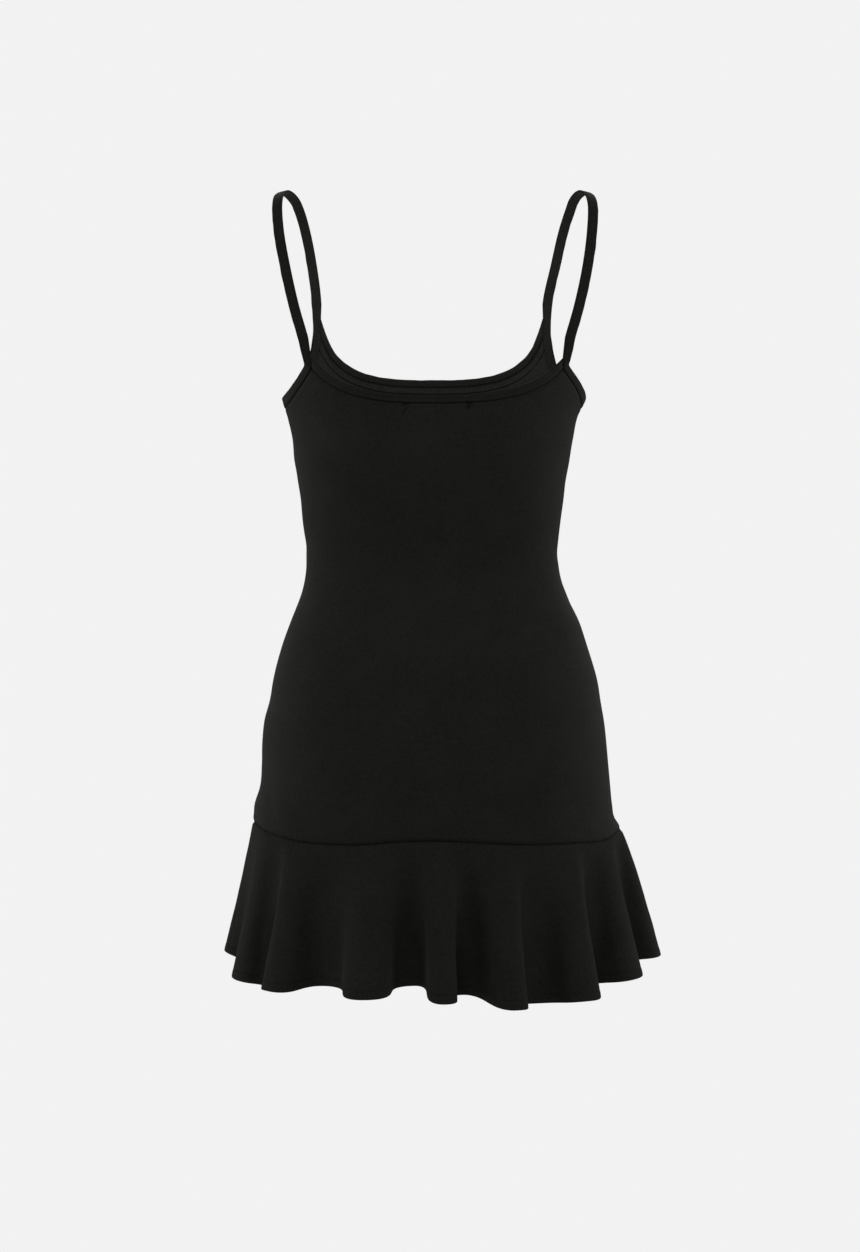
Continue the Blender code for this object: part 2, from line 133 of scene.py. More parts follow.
# %% [markdown]
# ## The form of the body
#
# On the real dress the form is the wearer's. Here it is a stack of rings, from the same table as
# the solids. Each ring is a superellipse, which is an ellipse that can be made boxier, with its
# own reach to the left, right, front and back. A place on the cloth is a turn and a height. The
# turn is 0 at the left side seam, 90 at the centre back, 180 at the right side seam and 270 in
# front.

# %% The rings of the body
# height, left, right, front, back in millimetres, and how square the ring is
BODY = np.array([
    (-110, 141, 141, 94, 94, 2.1), (-140, 143.5, 143.5, 99, 98, 2.1),
    (-175, 146, 147, 106, 101, 2.1), (-204, 146.5, 148.4, 112, 103, 2.1),
    (-222, 142, 141, 115, 103, 2.12), (-245, 136.7, 136.2, 116, 102, 2.15),
    (-266, 135.1, 132.8, 114, 100, 2.18), (-284, 132, 129.6, 109, 96, 2.2),
    (-304, 128.6, 127, 102, 90, 2.27), (-323, 127, 124.5, 95, 85, 2.25),
    (-352, 123.8, 121.8, 88, 78, 2.2), (-382, 124.7, 125, 88, 78, 2.2),
    (-402, 130.6, 132.4, 90, 83, 2.2), (-421, 138, 141.6, 93, 91, 2.2),
    (-441, 145.4, 148.5, 96, 100, 2.2), (-480, 155.8, 159.8, 100, 113, 2.2),
    (-500, 159.2, 163.2, 101, 117, 2.2), (-520, 164.4, 166.5, 102, 119, 2.2),
    (-540, 166.4, 168.8, 103, 120, 2.2), (-562, 166.8, 170.8, 104, 119, 2.2),
    (-584, 168.6, 172.8, 105, 117, 2.2), (-602, 174.2, 174.6, 106, 116, 2.15),
    (-614, 174.8, 176.6, 107, 116, 2.15), (-625, 176.9, 183.2, 108, 115, 2.15),
    (-640, 178, 188, 108, 115, 2.15),
])
SIZES = [curve_through(BODY[:, 0] * MM, BODY[:, i] * (1 if i == 5 else MM)) for i in range(1, 6)]
LEFT, RIGHT, *_, SQUARE = SIZES


def ring_point(turn, left, right, front, back, square):
    cosine = np.cos(np.radians(turn))
    sine = np.sin(np.radians(turn))
    x = np.sign(cosine) * np.abs(cosine) ** (2 / square) * np.where(cosine >= 0, left, right)
    y = np.sign(sine) * np.abs(sine) ** (2 / square) * np.where(sine >= 0, back, front)
    return x, y


def body_point(turn, height):
    x, y = ring_point(turn, *[size(height) for size in SIZES])
    return together(x, y, height)


def body_normal(turn, height):
    along = body_point(turn + 0.5, height) - body_point(turn - 0.5, height)
    up = body_point(turn, height + MM) - body_point(turn, height - MM)
    return unit(np.cross(along, up))


def turn_at(across, height, face):
    """The turn at which the cloth is this far across, on its back or its front."""
    reach = np.where(across >= 0, LEFT(height), RIGHT(height))
    cosine = (np.abs(across) / reach) ** (SQUARE(height) / 2)
    turn = np.degrees(np.arccos(np.copysign(cosine, across)))
    return turn if face == "back" else 360 - turn


def round_ring(turns, level):
    """How far it is along a level ring, from the first of its turns."""
    return lengths_along(body_point(turns, np.full(len(turns), level)))


# a table of how far it is round the cloth from the centre back
GIRTH_TURNS = np.arange(-10.0, 371.0, 1.0)
GIRTH_STEP = 0.005
GIRTH_HEIGHTS = np.arange(-0.645, -0.105, GIRTH_STEP)
GIRTH = np.array([round_ring(GIRTH_TURNS, level) for level in GIRTH_HEIGHTS])
GIRTH = GIRTH - GIRTH[:, GIRTH_TURNS == 90]


def girth_at(turn, height):
    """How far it is round the cloth from the centre back, read from the table."""
    column = np.clip(turn - GIRTH_TURNS[0], 0, len(GIRTH_TURNS) - 1.001)
    row = np.clip((height - GIRTH_HEIGHTS[0]) / GIRTH_STEP, 0, len(GIRTH_HEIGHTS) - 1.001)
    c, r = column.astype(int), row.astype(int)
    low, high = [GIRTH[at, c] * (1 - column + c) + GIRTH[at, c + 1] * (column - c)
                 for at in (r, r + 1)]
    return low * (1 - row + r) + high * (row - r)


for name, level in (("bust", -0.245), ("waist", -0.352), ("hip", -0.56)):
    around = girth_at(360, level) - girth_at(0, level)
    print(f"girth at the {name}: {around * 1000:.0f} mm")

# %% [markdown]
# ## Necklines and armholes
#
# The top of each panel is cut in three runs: armhole, neck, armhole. The neck is a soft U, higher
# in front, and an armhole climbs ever more steeply from the underarm to the corner where the
# strap begins. Each run is a rule for the seam's height. `seam_run` walks along it and keeps the
# direction that leads into the panel.

# %% The seams at the top of the panels
Neckline = namedtuple(
    "Neckline", "centre rise reach_left reach_right corner_left corner_right bend")
NECKLINES = {
    "back": Neckline(-218.0, 91.0, 127.6, 136.2, 114.8, 122.8, 2.7),
    "front": Neckline(-182.1, 88.4, 116.0, 113.9, 113.2, 111.1, 3.3),
}
UNDERARM = -213.5 * MM
SEAM_SAMPLES = 4001
# how long the armhole stays low, and how upright it ends
ARMHOLES = {
    ("back", "left"): (3.1, 1.0), ("back", "right"): (2.05, 1.0),
    ("front", "left"): (2.6, 0.52), ("front", "right"): (3.0, 0.5),
}
# the turn at which each face starts, and its two sides in the order of their turns
START = {"back": 0.0, "front": 180.0}
SIDES = {"back": ("left", "right"), "front": ("right", "left")}
Run = namedtuple("Run", "along turns heights points normals inward")


def neck_height(face, across):
    neck = NECKLINES[face]
    reach = np.where(across >= 0, neck.reach_left, neck.reach_right) * MM
    share = np.minimum(np.abs(across) / reach, 1)
    fall = (1 - share**neck.bend) ** (1 / neck.bend)
    return (neck.centre + neck.rise * (1 - fall)) * MM


def neck_height_at_turn(face, turn):
    """Found by settling, because the cloth's reach changes with the height."""
    height = np.full(np.shape(turn), NECKLINES[face].centre * MM)
    for _ in range(14):
        height = neck_height(face, body_point(turn, height)[..., 0])
    return height


def corner(face, side):
    neck = NECKLINES[face]
    across = np.array(neck.corner_left * MM if side == "left" else -neck.corner_right * MM)
    height = neck_height(face, across)
    return float(turn_at(across, height, face)), float(height)


def armhole_height(face, side, turn):
    corner_turn, corner_height = corner(face, side)
    seam_turn = START[face] + 180 * SIDES[face].index(side)
    share = np.clip(np.abs((turn - seam_turn) / (corner_turn - seam_turn)), 0, 1)
    start, end = ARMHOLES[face, side]
    risen = 1 - (1 - share**start) ** end
    return UNDERARM + (corner_height - UNDERARM) * risen


def seam_run(height_at, start, end, step, steep="", start_close=False, end_close=False):
    """A stretch of seam, with places a step apart along its length."""
    share = np.linspace(0, 1, SEAM_SAMPLES)
    # an armhole does its climbing in the last of its turn, so it is measured more finely there
    share = {"end": 1 - (1 - share) ** 2, "start": share**2, "": share}[steep]
    fine = start + (end - start) * share
    length = lengths_along(body_point(fine, height_at(fine)))
    along = spaced(length[-1], step, start_close, end_close)
    turns = np.interp(along, length, fine)
    heights = height_at(turns)
    points, normals = body_point(turns, heights), body_normal(turns, heights)
    inward = unit(np.cross(np.gradient(points, along, axis=0), normals))
    return Run(along, turns, heights, points, normals, inward)


def face_runs(face, step, close=False):
    """The three runs along the top of a panel, in the order of their turns."""
    start, (first, last) = START[face], SIDES[face]
    left_off, taken_up = corner(face, first)[0], corner(face, last)[0]
    return (
        seam_run(lambda t: armhole_height(face, first, t), start, left_off, step, "end", close),
        seam_run(lambda t: neck_height_at_turn(face, t), left_off, taken_up, step),
        seam_run(lambda t: armhole_height(face, last, t), taken_up, start + 180, step, "start",
                 end_close=close),
    )


BAND_STEP = 1.25 * MM
BAND_RUNS = {face: face_runs(face, BAND_STEP) for face in NECKLINES}
for face, runs in BAND_RUNS.items():
    print(face, "armhole, neck, armhole in mm:", [round(run.along[-1] * 1000) for run in runs])

# %% [markdown]
# ## A shell of cloth
#
# Jersey is a thin wall with two faces and soft edges. A single sheet with a Solidify modifier
# could make that, but cloth is pinched at a seam and doubled at the hem, so the distance between
# its faces changes. `cloth_shell` therefore takes both faces as grids and joins them round all
# four edges into one closed body. The UV map is in metres of cloth, so a knit on it keeps its
# true size.

# %% Make closed bodies of cloth
# the points of a strip's section that lie on its under side, and one in the middle of them
UNDER_SIDE = range(13, 20)
UNDER_MIDDLE = 17


def in_scene(name, data):
    """A new object in the scene with this mesh, light or camera."""
    made = bpy.data.objects.new(name, data)
    bpy.context.scene.collection.objects.link(made)
    if data.id_type == "MESH" and data.polygons:
        print(name, "has", len(data.polygons), "faces")
    return made


def cloth_body(name, points, faces, places, sunk_and_painted_shade, materials, side):
    """An object of cloth. `side` is 1 for each face that shows the second material."""
    mesh = bpy.data.meshes.new(name)
    mesh.from_pydata(points.reshape(-1, 3).tolist(), [], faces)
    bm = bmesh.new()
    bm.from_mesh(mesh)
    bmesh.ops.recalc_face_normals(bm, faces=bm.faces)
    bm.to_mesh(mesh)
    bm.free()
    corners = np.empty(len(mesh.loops), int)
    mesh.loops.foreach_get("vertex_index", corners)
    uv = mesh.uv_layers.new(name="cloth")
    uv.data.foreach_set("uv", places.reshape(-1, 2)[corners].astype(np.float32).ravel())
    # the number that darkens the colour in seams and at folded edges: painted shade
    painted_shade_layer = mesh.attributes.new("sunk_and_painted_shade", "FLOAT", "POINT")
    painted_shade_layer.data.foreach_set("value", np.clip(sunk_and_painted_shade, 0, 1).astype(np.float32).ravel())
    for material in materials:
        mesh.materials.append(material)
    mesh.polygons.foreach_set("material_index", side.astype(np.int32))
    mesh.shade_smooth()
    return in_scene(name, mesh)


def cloth_shell(name, outer, inner, places, sunk_and_painted_shade, right_side, rim=(), turned_rows=0):
    """One closed body from two faces of cloth, each a grid of rows and columns of points.

    `rim` holds the rows of points that round the lower edge, from the outer face on. The inner
    face has the wrong side's material, paler and lightened as painted light, except for its last
    rows, where the hem is turned up. A number on each point, from 0 to 1, says how much painted
    shade darkens it in a seam.
    """
    rows, columns = outer.shape[:2]
    low = len(rim)
    points = np.array([*outer, *rim, *inner[::-1]])
    places, sunk_and_painted_shade = [np.array([*grid, *[grid[-1]] * low, *grid[::-1]]) for grid in (places, sunk_and_painted_shade)]
    index = np.arange(len(points) * columns).reshape(-1, columns)
    after = np.roll(index, -1, axis=0)
    quads = np.stack([index[:, :-1], after[:, :-1], after[:, 1:], index[:, 1:]], axis=-1)
    faces = quads.reshape(-1, 4).tolist()
    for end in index[:, [0, -1]].T.tolist():
        faces += [[end[r], end[r + 1], end[-2 - r], end[-1 - r]] for r in range(rows - 1)]
        if low:
            faces.append(end[rows - 1:rows + low + 1])
    side = np.zeros(len(faces))
    side[(rows + low + turned_rows) * (columns - 1):(len(points) - 1) * (columns - 1)] = 1
    # the inner faces show the wrong side, lightened as painted light
    return cloth_body(name, points, faces, places, sunk_and_painted_shade, (right_side, jersey_wrong_side), side)


def round_rim(outer_row, inner_row, way):
    """Three rows that carry the cloth round an edge, from its outer face to its inner face."""
    middle, half = (outer_row + inner_row) / 2, (outer_row - inner_row) / 2
    size = np.linalg.norm(half, axis=-1, keepdims=True)
    angles = [math.pi * quarter / 4 for quarter in (1, 2, 3)]
    return [middle + half * math.cos(a) + way * size * math.sin(a) for a in angles]


def tube(name, rings, places, sunk_and_painted_shade, closed):
    """One closed body from a row of rings of points, each a section of a strip."""
    count, sides = rings.shape[:2]
    index = np.arange(count * sides).reshape(count, sides)
    here, ahead = (index, np.roll(index, -1, axis=0)) if closed else (index[:-1], index[1:])
    quads = np.stack([here, np.roll(here, -1, 1), np.roll(ahead, -1, 1), ahead], axis=-1)
    faces = quads.reshape(-1, 4).tolist()
    side = np.tile(np.isin(np.arange(sides), UNDER_SIDE), len(quads))
    if not closed:
        faces += index[[0, -1]].tolist()
        side = np.append(side, [0, 0])
    # the under side shows the binding's wrong side, lightened as painted light
    materials = (binding_cloth, binding_wrong_side)
    return cloth_body(name, rings, faces, places, np.tile(sunk_and_painted_shade, count), materials, side)


print("shell and tube are ready")

# %% [markdown]
# ## Two blacks
#
# Jersey is a mat of fine loops in upright ribs, and the short fibres that stand up from it catch
# light from the side, so a black dress is lighter along its edges. The shader does that with a
# little sheen. The loops are drawn by arithmetic on the UV map: each rib has a rounded back, and
# the loops slant to both sides of it, which makes a knit's rows of small V shapes. They move the
# shading normal, because they are under a millimetre, and the colour is also a little darker
# between the ribs, as painted shade. Noise keeps the tone from being even.
#
# The frill is cut round a circle, so its nap lies every way and it has less sheen. The wrong side
# of jersey looks paler, and its colour is made lighter still as painted light, for the light that
# would reach the inside. In a seam and along a folded edge the colour is darkened as painted
# shade: each piece carries a number for it on its points, and the shader darkens the colour
# where it is high.

# %% The knit
JERSEY_BLACK = (0.0132, 0.0131, 0.0116, 1.0)
# the wrong side is paler, and this colour is made lighter still as painted light for the inside,
# which gets little light
WRONG_SIDE_PAINTED_LIGHT = (0.0300, 0.0298, 0.0268, 1.0)
BINDING_BLACK = (0.0125, 0.0124, 0.0110, 1.0)
# the binding's wrong side is also lightened as painted light
BINDING_WRONG_SIDE_PAINTED_LIGHT = (0.0225, 0.0223, 0.0202, 1.0)
THREAD_BLACK = (0.0150, 0.0149, 0.0135, 1.0)
# a very dark thread for the tacks and the looper row; on the looper row it is also a painted shadow
# line
TACK_THREAD_AND_PAINTED_SHADOW_BLACK = (0.0045, 0.0045, 0.0042, 1.0)
# how much the painted shade in seams and at folded edges takes from the colour
PAINTED_SHADE_LOSS = 0.6
SHINE = 0.03
RIB = 1.0 * MM


def add_node(tree, kind, inputs=None, **settings):
    """A new node with these settings. Each input gets a value, or a link from another node."""
    node = tree.nodes.new(kind)
    for key, value in settings.items():
        setattr(node, key, value)
    for key, value in (inputs or {}).items():
        if isinstance(value, bpy.types.NodeSocket):
            tree.links.new(value, node.inputs[key])
        else:
            node.inputs[key].default_value = value
    return node


def new_material(name, values):
    material = bpy.data.materials.new(name)
    material.use_nodes = True
    shader = material.node_tree.nodes["Principled BSDF"]
    for key, value in values.items():
        shader.inputs[key].default_value = value
    return material, material.node_tree, shader


def knit(name, colour, course, roughness, sheen, depth):
    """A fine jersey. The pitch of its courses and its depth are in millimetres."""
    material, tree, shader = new_material(name, {
        "Roughness": roughness, "Specular IOR Level": SHINE, "Sheen Weight": sheen,
        "Sheen Roughness": 0.45})
    place = add_node(tree, "ShaderNodeTexCoord").outputs["Object"]

    def work_out(kind, *values):
        return add_node(tree, "ShaderNodeMath", dict(enumerate(values)), operation=kind).outputs[0]

    def noise(scale, detail):
        inputs = {"Scale": scale, "Detail": detail, "Vector": place}
        return add_node(tree, "ShaderNodeTexNoise", inputs).outputs["Fac"]

    def swing(value, middle, share):
        return work_out("MULTIPLY", work_out("SUBTRACT", value, middle), share)

    cloth = add_node(tree, "ShaderNodeUVMap", uv_map="cloth")
    split = add_node(tree, "ShaderNodeSeparateXYZ", {0: cloth.outputs[0]})
    across = work_out("DIVIDE", split.outputs[0], RIB)
    down = work_out("DIVIDE", split.outputs[1], course * MM)
    side = work_out("PINGPONG", across, 0.5)
    back = work_out("SINE", work_out("MULTIPLY", side, math.pi))
    loop = work_out("SINE", work_out("MULTIPLY", work_out("ADD", down, side), 2 * math.pi))
    height = work_out("ADD", work_out("MULTIPLY", back, 0.7), work_out("MULTIPLY", loop, 0.22))
    fuzzy = work_out("ADD", height, work_out("MULTIPLY", noise(900.0, 2.0), 0.5))
    lift = add_node(tree, "ShaderNodeBump",
                    {"Strength": 0.5, "Distance": depth * MM, "Height": fuzzy})
    tree.links.new(lift.outputs["Normal"], shader.inputs["Normal"])

    uneven = work_out("ADD", swing(noise(420.0, 3.0), 0.5, 0.9), swing(noise(26.0, 2.0), 0.5, 0.35))
    # painted shade: the tone is a little darker between the ribs
    tone = work_out("ADD", uneven, work_out("ADD", swing(back, 0.6, 0.25), 1.0))
    # painted shade: the colour is darker where the number on the points is high
    seam = add_node(tree, "ShaderNodeAttribute", attribute_name="sunk_and_painted_shade")
    left_after_painted_shade = work_out("ADD", work_out("MULTIPLY", seam.outputs["Fac"], -PAINTED_SHADE_LOSS), 1.0)
    dye = add_node(tree, "ShaderNodeMix", {
        "Factor": 1.0, 6: colour, 7: work_out("MULTIPLY", tone, left_after_painted_shade)},
        data_type="RGBA", blend_type="MULTIPLY")
    tree.links.new(dye.outputs[2], shader.inputs["Base Color"])
    return material


def dyed_thread(name, colour):
    material, tree, shader = new_material(name, {"Roughness": 0.7, "Specular IOR Level": SHINE})
    place = add_node(tree, "ShaderNodeTexCoord").outputs["Object"]
    twist = add_node(tree, "ShaderNodeTexNoise", {"Scale": 1500.0, "Vector": place})
    ramp = add_node(tree, "ShaderNodeValToRGB", {"Fac": twist.outputs["Fac"]})
    for element, share in zip(ramp.color_ramp.elements, (0.7, 1.3)):
        element.color = [c * share for c in colour[:3]] + [1.0]
    tree.links.new(ramp.outputs["Color"], shader.inputs["Base Color"])
    return material


# name, dye, pitch of the courses, roughness, sheen, depth
MATERIALS = [knit(*row) for row in (
    ("jersey", JERSEY_BLACK, 0.8, 0.9, 0.05, 0.25),
    ("frill_jersey", JERSEY_BLACK, 0.8, 0.9, 0.025, 0.25),
    # both wrong sides are paler, and lightened further as painted light
    ("jersey_wrong_side", WRONG_SIDE_PAINTED_LIGHT, 0.5, 0.9, 0.05, 0.25),
    ("binding_cloth", BINDING_BLACK, 0.8, 0.85, 0.05, 0.22),
    ("binding_wrong_side", BINDING_WRONG_SIDE_PAINTED_LIGHT, 0.5, 0.85, 0.05, 0.22),
)]
jersey, frill_jersey, jersey_wrong_side, binding_cloth, binding_wrong_side = MATERIALS
thread = dyed_thread("thread", THREAD_BLACK)
tack_thread = dyed_thread("tack_thread", TACK_THREAD_AND_PAINTED_SHADOW_BLACK)
print("materials:", [made.name for made in (*MATERIALS, thread, tack_thread)])

# %% [markdown]
# ## The seam of the frill
#
# The frill is sewn on round the thighs, and that seam isn't level: it is lifted at the sides, and
# the stretch cloth lets it wander by a few millimetres. A short table of turns and offsets holds
# that wandering, and both the panels and the frill read it, so they meet.

# %% Where the frill is sewn on
SEAM_WANDER = curve_through(*zip(
    (-12, 1.5), (0, 3), (12, 4.3), (29, 2.6), (39, 0.9), (47, -1.2), (59, -1.9), (69, -1.5),
    (81, 1.6), (90, 2.6), (102, 0.7), (118, -2.1), (133, -2.1), (149, -3), (168, 0.8), (180, 0),
    (200, -1), (225, 1.2), (250, -1), (270, 1.5), (292, -0.8), (315, 1), (340, 0), (360, 3),
    (372, 4.3),
))
# how deep the seam pulls the cloth in, and how far from it the cloth is pinched and gets painted
# shade
SEAM_DIP = 1.1 * MM
SEAM_PINCH, SEAM_SHADE = 1.9 * MM, 0.9 * MM
SEAM_HEIGHT = -630.0
LEFT_LIFT, RIGHT_LIFT = 9.0, 5.0


def frill_seam(turn):
    """The height of the frill's seam."""
    cosine = np.cos(np.radians(turn))
    lift = np.where(cosine >= 0, LEFT_LIFT, RIGHT_LIFT) * np.abs(cosine) ** 8
    return (SEAM_HEIGHT + lift + SEAM_WANDER(turn % 360)) * MM


def seam_dip(turn):
    """How far the frill's seam pulls the cloth in, a little uneven along its length."""
    return SEAM_DIP * (1 + 0.25 * waves(girth_at(turn, frill_seam(turn)), 13 * MM, 13))


turns = np.arange(0, 361, 1.0)
SEAM_LENGTH = lengths_along(body_point(turns, frill_seam(turns)))[-1]
print(f"the frill's seam is {SEAM_LENGTH * 1000:.0f} mm round")

# %% [markdown]
# ## The two panels
#
# A fitted panel is almost smooth, because the stretch takes up the slack. What shows is small:
# the cloth dips where a seam pulls it in, and a few broad, shallow creases run from the places
# that pull, such as the waist, the underarm and the frill's seam. They are listed in a table.

# %% Creases from a table
# turn, height in mm, length, direction in degrees from level, width, depth in mm (in is negative)
CREASES = [
    (16, -262, 34, 24, 9, -0.7), (24, -286, 30, 30, 10, 0.5), (12, -345, 26, 8, 8, -0.8),
    (20, -372, 34, 14, 9, 0.6), (10, -398, 24, -12, 8, -0.5), (60, -352, 60, 6, 14, -0.45),
    (112, -366, 70, -5, 15, -0.4), (158, -266, 32, -26, 9, -0.7), (166, -352, 28, -8, 8, -0.8),
    (160, -384, 34, -16, 9, 0.6), (150, -604, 34, 70, 11, 0.5), (28, -598, 30, -74, 10, -0.5),
    (84, -606, 30, 86, 13, 0.35), (122, -600, 32, 92, 13, -0.4), (48, -470, 55, 34, 16, 0.35),
    (138, -478, 60, -36, 17, 0.35),
    (196, -258, 34, 24, 9, -0.8), (206, -282, 32, 28, 10, 0.6), (192, -350, 30, 10, 8, -0.8),
    (204, -378, 38, 16, 9, 0.6), (236, -356, 64, 5, 14, -0.6), (292, -364, 66, -6, 15, -0.5),
    (336, -262, 34, -24, 9, -0.8), (328, -288, 34, -28, 10, 0.5), (346, -352, 30, -9, 8, -0.9),
    (338, -386, 36, -14, 9, 0.6), (270, -300, 46, 2, 16, -0.5), (222, -600, 34, 82, 12, 0.5),
    (262, -606, 32, 88, 13, -0.4), (312, -602, 34, 98, 12, 0.5), (244, -486, 58, 30, 16, 0.4),
    (300, -480, 58, -32, 16, 0.4),
]
CREASE_BEND = 0.5


def crease_relief(turn, height):
    """How far the creases lift each place out of the form."""
    relief = np.zeros(np.shape(turn))
    around = girth_at(turn, height)
    for at_turn, at_height, length, direction, width, depth in CREASES:
        right = around - girth_at(at_turn, at_height * MM)
        up = height - at_height * MM
        cosine, sine = math.cos(math.radians(direction)), math.sin(math.radians(direction))
        along = (right * cosine + up * sine) / (length * MM)
        off = (up * cosine - right * sine) / (width * MM) + CREASE_BEND * along**2
        relief += depth * MM * bump(off, 1) * bump(along, 1)
    return relief


print(len(CREASES), "creases, the deepest", max(abs(row[-1]) for row in CREASES), "mm")

# %% [markdown]
# ### From a cut edge to a closed panel
#
# The grid's rows follow the cut edge at the top and turn into level rows lower down. Near a seam
# they lie closer together, so that its small dips are drawn well. At a corner the edge of the
# cloth reaches a little further under the bands, as real cloth does, or a hole would show there.
# In front the corner is so sharp that the rows of its two sides would cross, so they start close
# together.

# %% Places for the panels
PANEL_STEP = 2.3 * MM
PANEL_ROW_STEP = 4.6 * MM
MITRE_LIMIT = {"back": 1.7, "front": 1.0}
CORNER_REACH = {"back": 12.5 * MM, "front": 36 * MM}
LOW_LINE = -0.247
LOWER_LENGTH = 0.385
UPPER_ROWS = 26
EDGE_ROWS = np.array([-0.6, 0, 0.4, 0.9, 1.5, 2.3, 3.3, 4.6, 6.2]) * MM


def mitred(first, second):
    return (first + second) / (1 + dot(first, second))


def panel_places(face):
    """The turn and height of each point of a panel's grid."""
    first, neck, last = face_runs(face, PANEL_STEP, close=True)
    turns = np.concatenate([first.turns, neck.turns[1:], last.turns[1:]])
    heights = np.concatenate([first.heights, neck.heights[1:], last.heights[1:]])
    inward = np.array([
        *first.inward[:-1], mitred(first.inward[-1], neck.inward[0]), *neck.inward[1:-1],
        mitred(neck.inward[-1], last.inward[0]), *last.inward[1:]])
    corners = first.along[-1], first.along[-1] + neck.along[-1]
    along = np.concatenate([first.along, corners[0] + neck.along[1:], corners[1] + last.along[1:]])
    from_corner = np.min([np.abs(along - c) for c in corners], axis=0)
    # near a sharp corner the rows lie closer, so that those of its two sides don't cross
    share = np.clip(from_corner / CORNER_REACH[face], 0.05, 1)
    # the inward step, written as a change of turn and of height
    per_turn = (body_point(turns + 0.05, heights) - body_point(turns - 0.05, heights)) / 0.1
    per_height = (body_point(turns, heights + MM / 2) - body_point(turns, heights - MM / 2)) / MM
    a, b, c = dot(per_turn, per_turn), dot(per_turn, per_height), dot(per_height, per_height)
    p, q = dot(per_turn, inward), dot(per_height, inward)
    turn_step = (p * c - q * b) / (a * c - b * b)
    height_step = (q * a - p * b) / (a * c - b * b)
    # at a corner the edge reaches further under the bands, to leave no gap between them
    mitre = np.linalg.norm(inward, axis=1)
    tucked = (1 + 3 * bump(from_corner, 6 * MM)) * np.minimum(1, MITRE_LIMIT[face] / mitre)
    rows = []
    for offset in EDGE_ROWS:
        step = offset * (share if offset > 0 else tucked)
        rows.append((turns + turn_step * step, heights + height_step * step))
    edge_turns, edge_heights = rows[-1]
    # the line where the rows have become level, with the same number of columns
    ring_turns = np.linspace(START[face], START[face] + 180, 2001)
    ring = round_ring(ring_turns, LOW_LINE)
    end, low_end, close = along[-1], ring[-1], CLOSE[-1]
    fitted = np.interp(along, [0, close, end - close, end], [0, close, low_end - close, low_end])
    low_turns = np.interp(fitted, ring, ring_turns)
    for t in np.linspace(0, 1, UPPER_ROWS + 1)[1:]:
        rows.append((edge_turns + (low_turns - edge_turns) * t**1.2,
                     edge_heights + (LOW_LINE - edge_heights) * t))
    bottom = frill_seam(low_turns)
    for t in spaced(LOWER_LENGTH, PANEL_ROW_STEP, end_close=True)[1:] / LOWER_LENGTH:
        rows.append((low_turns, LOW_LINE + (bottom - LOW_LINE) * t))
    return np.swapaxes(rows, 0, 1)


PANEL_PLACES = {face: panel_places(face) for face in NECKLINES}
for face, (rows, _) in PANEL_PLACES.items():
    print(f"the {face} has {rows.shape[0]} rows and {rows.shape[1]} columns")

# %% [markdown]
# ### Relief and thickness
#
# `panel` lays the relief on these places: the creases, the dip along each seam, the pinch where
# stitches hold the cloth, and a slow unevenness. Then it moves the middle of the cloth half its
# thickness to each side, to get its two faces.

# %% Make the panels
PANEL_THICKNESS = 1.2 * MM
EDGE_DIP = 0.45 * MM


def distance_to_line(grid, line):
    """How far each point of a grid is from a line of points."""
    start, way = line[:-1], np.diff(line, axis=0)
    found = []
    for row in grid:
        offset = row[:, None] - start
        share = np.clip(dot(offset, way) / dot(way, way), 0, 1)
        found.append(np.linalg.norm(offset - way * share[..., None], axis=-1).min(axis=1))
    return np.array(found)


def panel(name, face, seed):
    turn, height = PANEL_PLACES[face]
    around = girth_at(turn, height)
    seams = [girth_at(np.full(turn.shape, START[face] + half), height) for half in (0, 180)]
    from_side = np.maximum(np.minimum(around - seams[0], seams[1] - around), 0)
    from_frill = np.maximum(height - frill_seam(turn), 0)
    middle = body_point(turn, height)
    normal = body_normal(turn, height)
    from_edge = distance_to_line(middle, middle[1])
    # each seam pulls the cloth in and pinches it, unevenly along its length
    side_pull = (0.55 + 0.2 * waves(height, 16 * MM, seed)) * MM
    # the tucked row above the edge isn't pulled in, because the band covers it
    shown = height < middle[1, :, 2] + 0.1 * MM
    raised = (
        crease_relief(turn, height)
        - side_pull * bump(from_side, 2.4 * MM)
        - seam_dip(turn) * bump(from_frill, SEAM_PINCH)
        - EDGE_DIP * bump(from_edge, 1.1 * MM) * shown
        + 0.3 * MM * bump(from_frill - 5 * MM, 3.5 * MM)
        + 0.2 * MM * bump(from_edge - 4.5 * MM, 3 * MM)
        + 0.16 * MM * bump(from_edge - 5 * MM, 3 * MM) * waves(around, 15 * MM, 14)
        + 0.25 * MM * waves(around + 0.7 * height, 70 * MM, 15) * waves(height, 90 * MM, 16)
    )
    pinch = (0.75 * bump(from_edge, 1.4 * MM) + 0.5 * bump(from_side, SEAM_PINCH)
             + 0.5 * bump(from_frill, SEAM_PINCH)) * MM
    middle = middle + normal * raised[..., None]
    half = normal * ((PANEL_THICKNESS - pinch) / 2)[..., None]
    places = together(around, height)
    # painted shade along the top edge, the frill's seam and the side seams
    sunk_and_painted_shade = (bump(from_edge, 1.0 * MM) + 0.8 * bump(from_frill, SEAM_SHADE)
            + 0.5 * bump(from_side, 0.7 * MM))
    return cloth_shell(name, middle + half, middle - half, places, sunk_and_painted_shade, jersey)


back_body = panel("back_body", "back", 11)
front_body = panel("front_body", "front", 12)

# %% [markdown]
# ## Bands and straps
#
# Each edge is bound with a strip of jersey, folded over the cut edge and stitched down. The
# armhole's strip goes on past the corner as the strap, over the shoulder, and down to the other
# corner. A strip is one section swept along two lines, the seam and the free edge, so its width
# and its twist follow the cloth, which a curve with a bevel couldn't do. The section is flat with
# rolled edges and has a narrow channel where the stitches sink in.

# %% The section of a folded strip
NECK_BAND_WIDTH = {"back": 7.6 * MM, "front": 7.2 * MM}
STRAP_WIDTH = 9.9 * MM
BAND_THICKNESS = 2.2 * MM
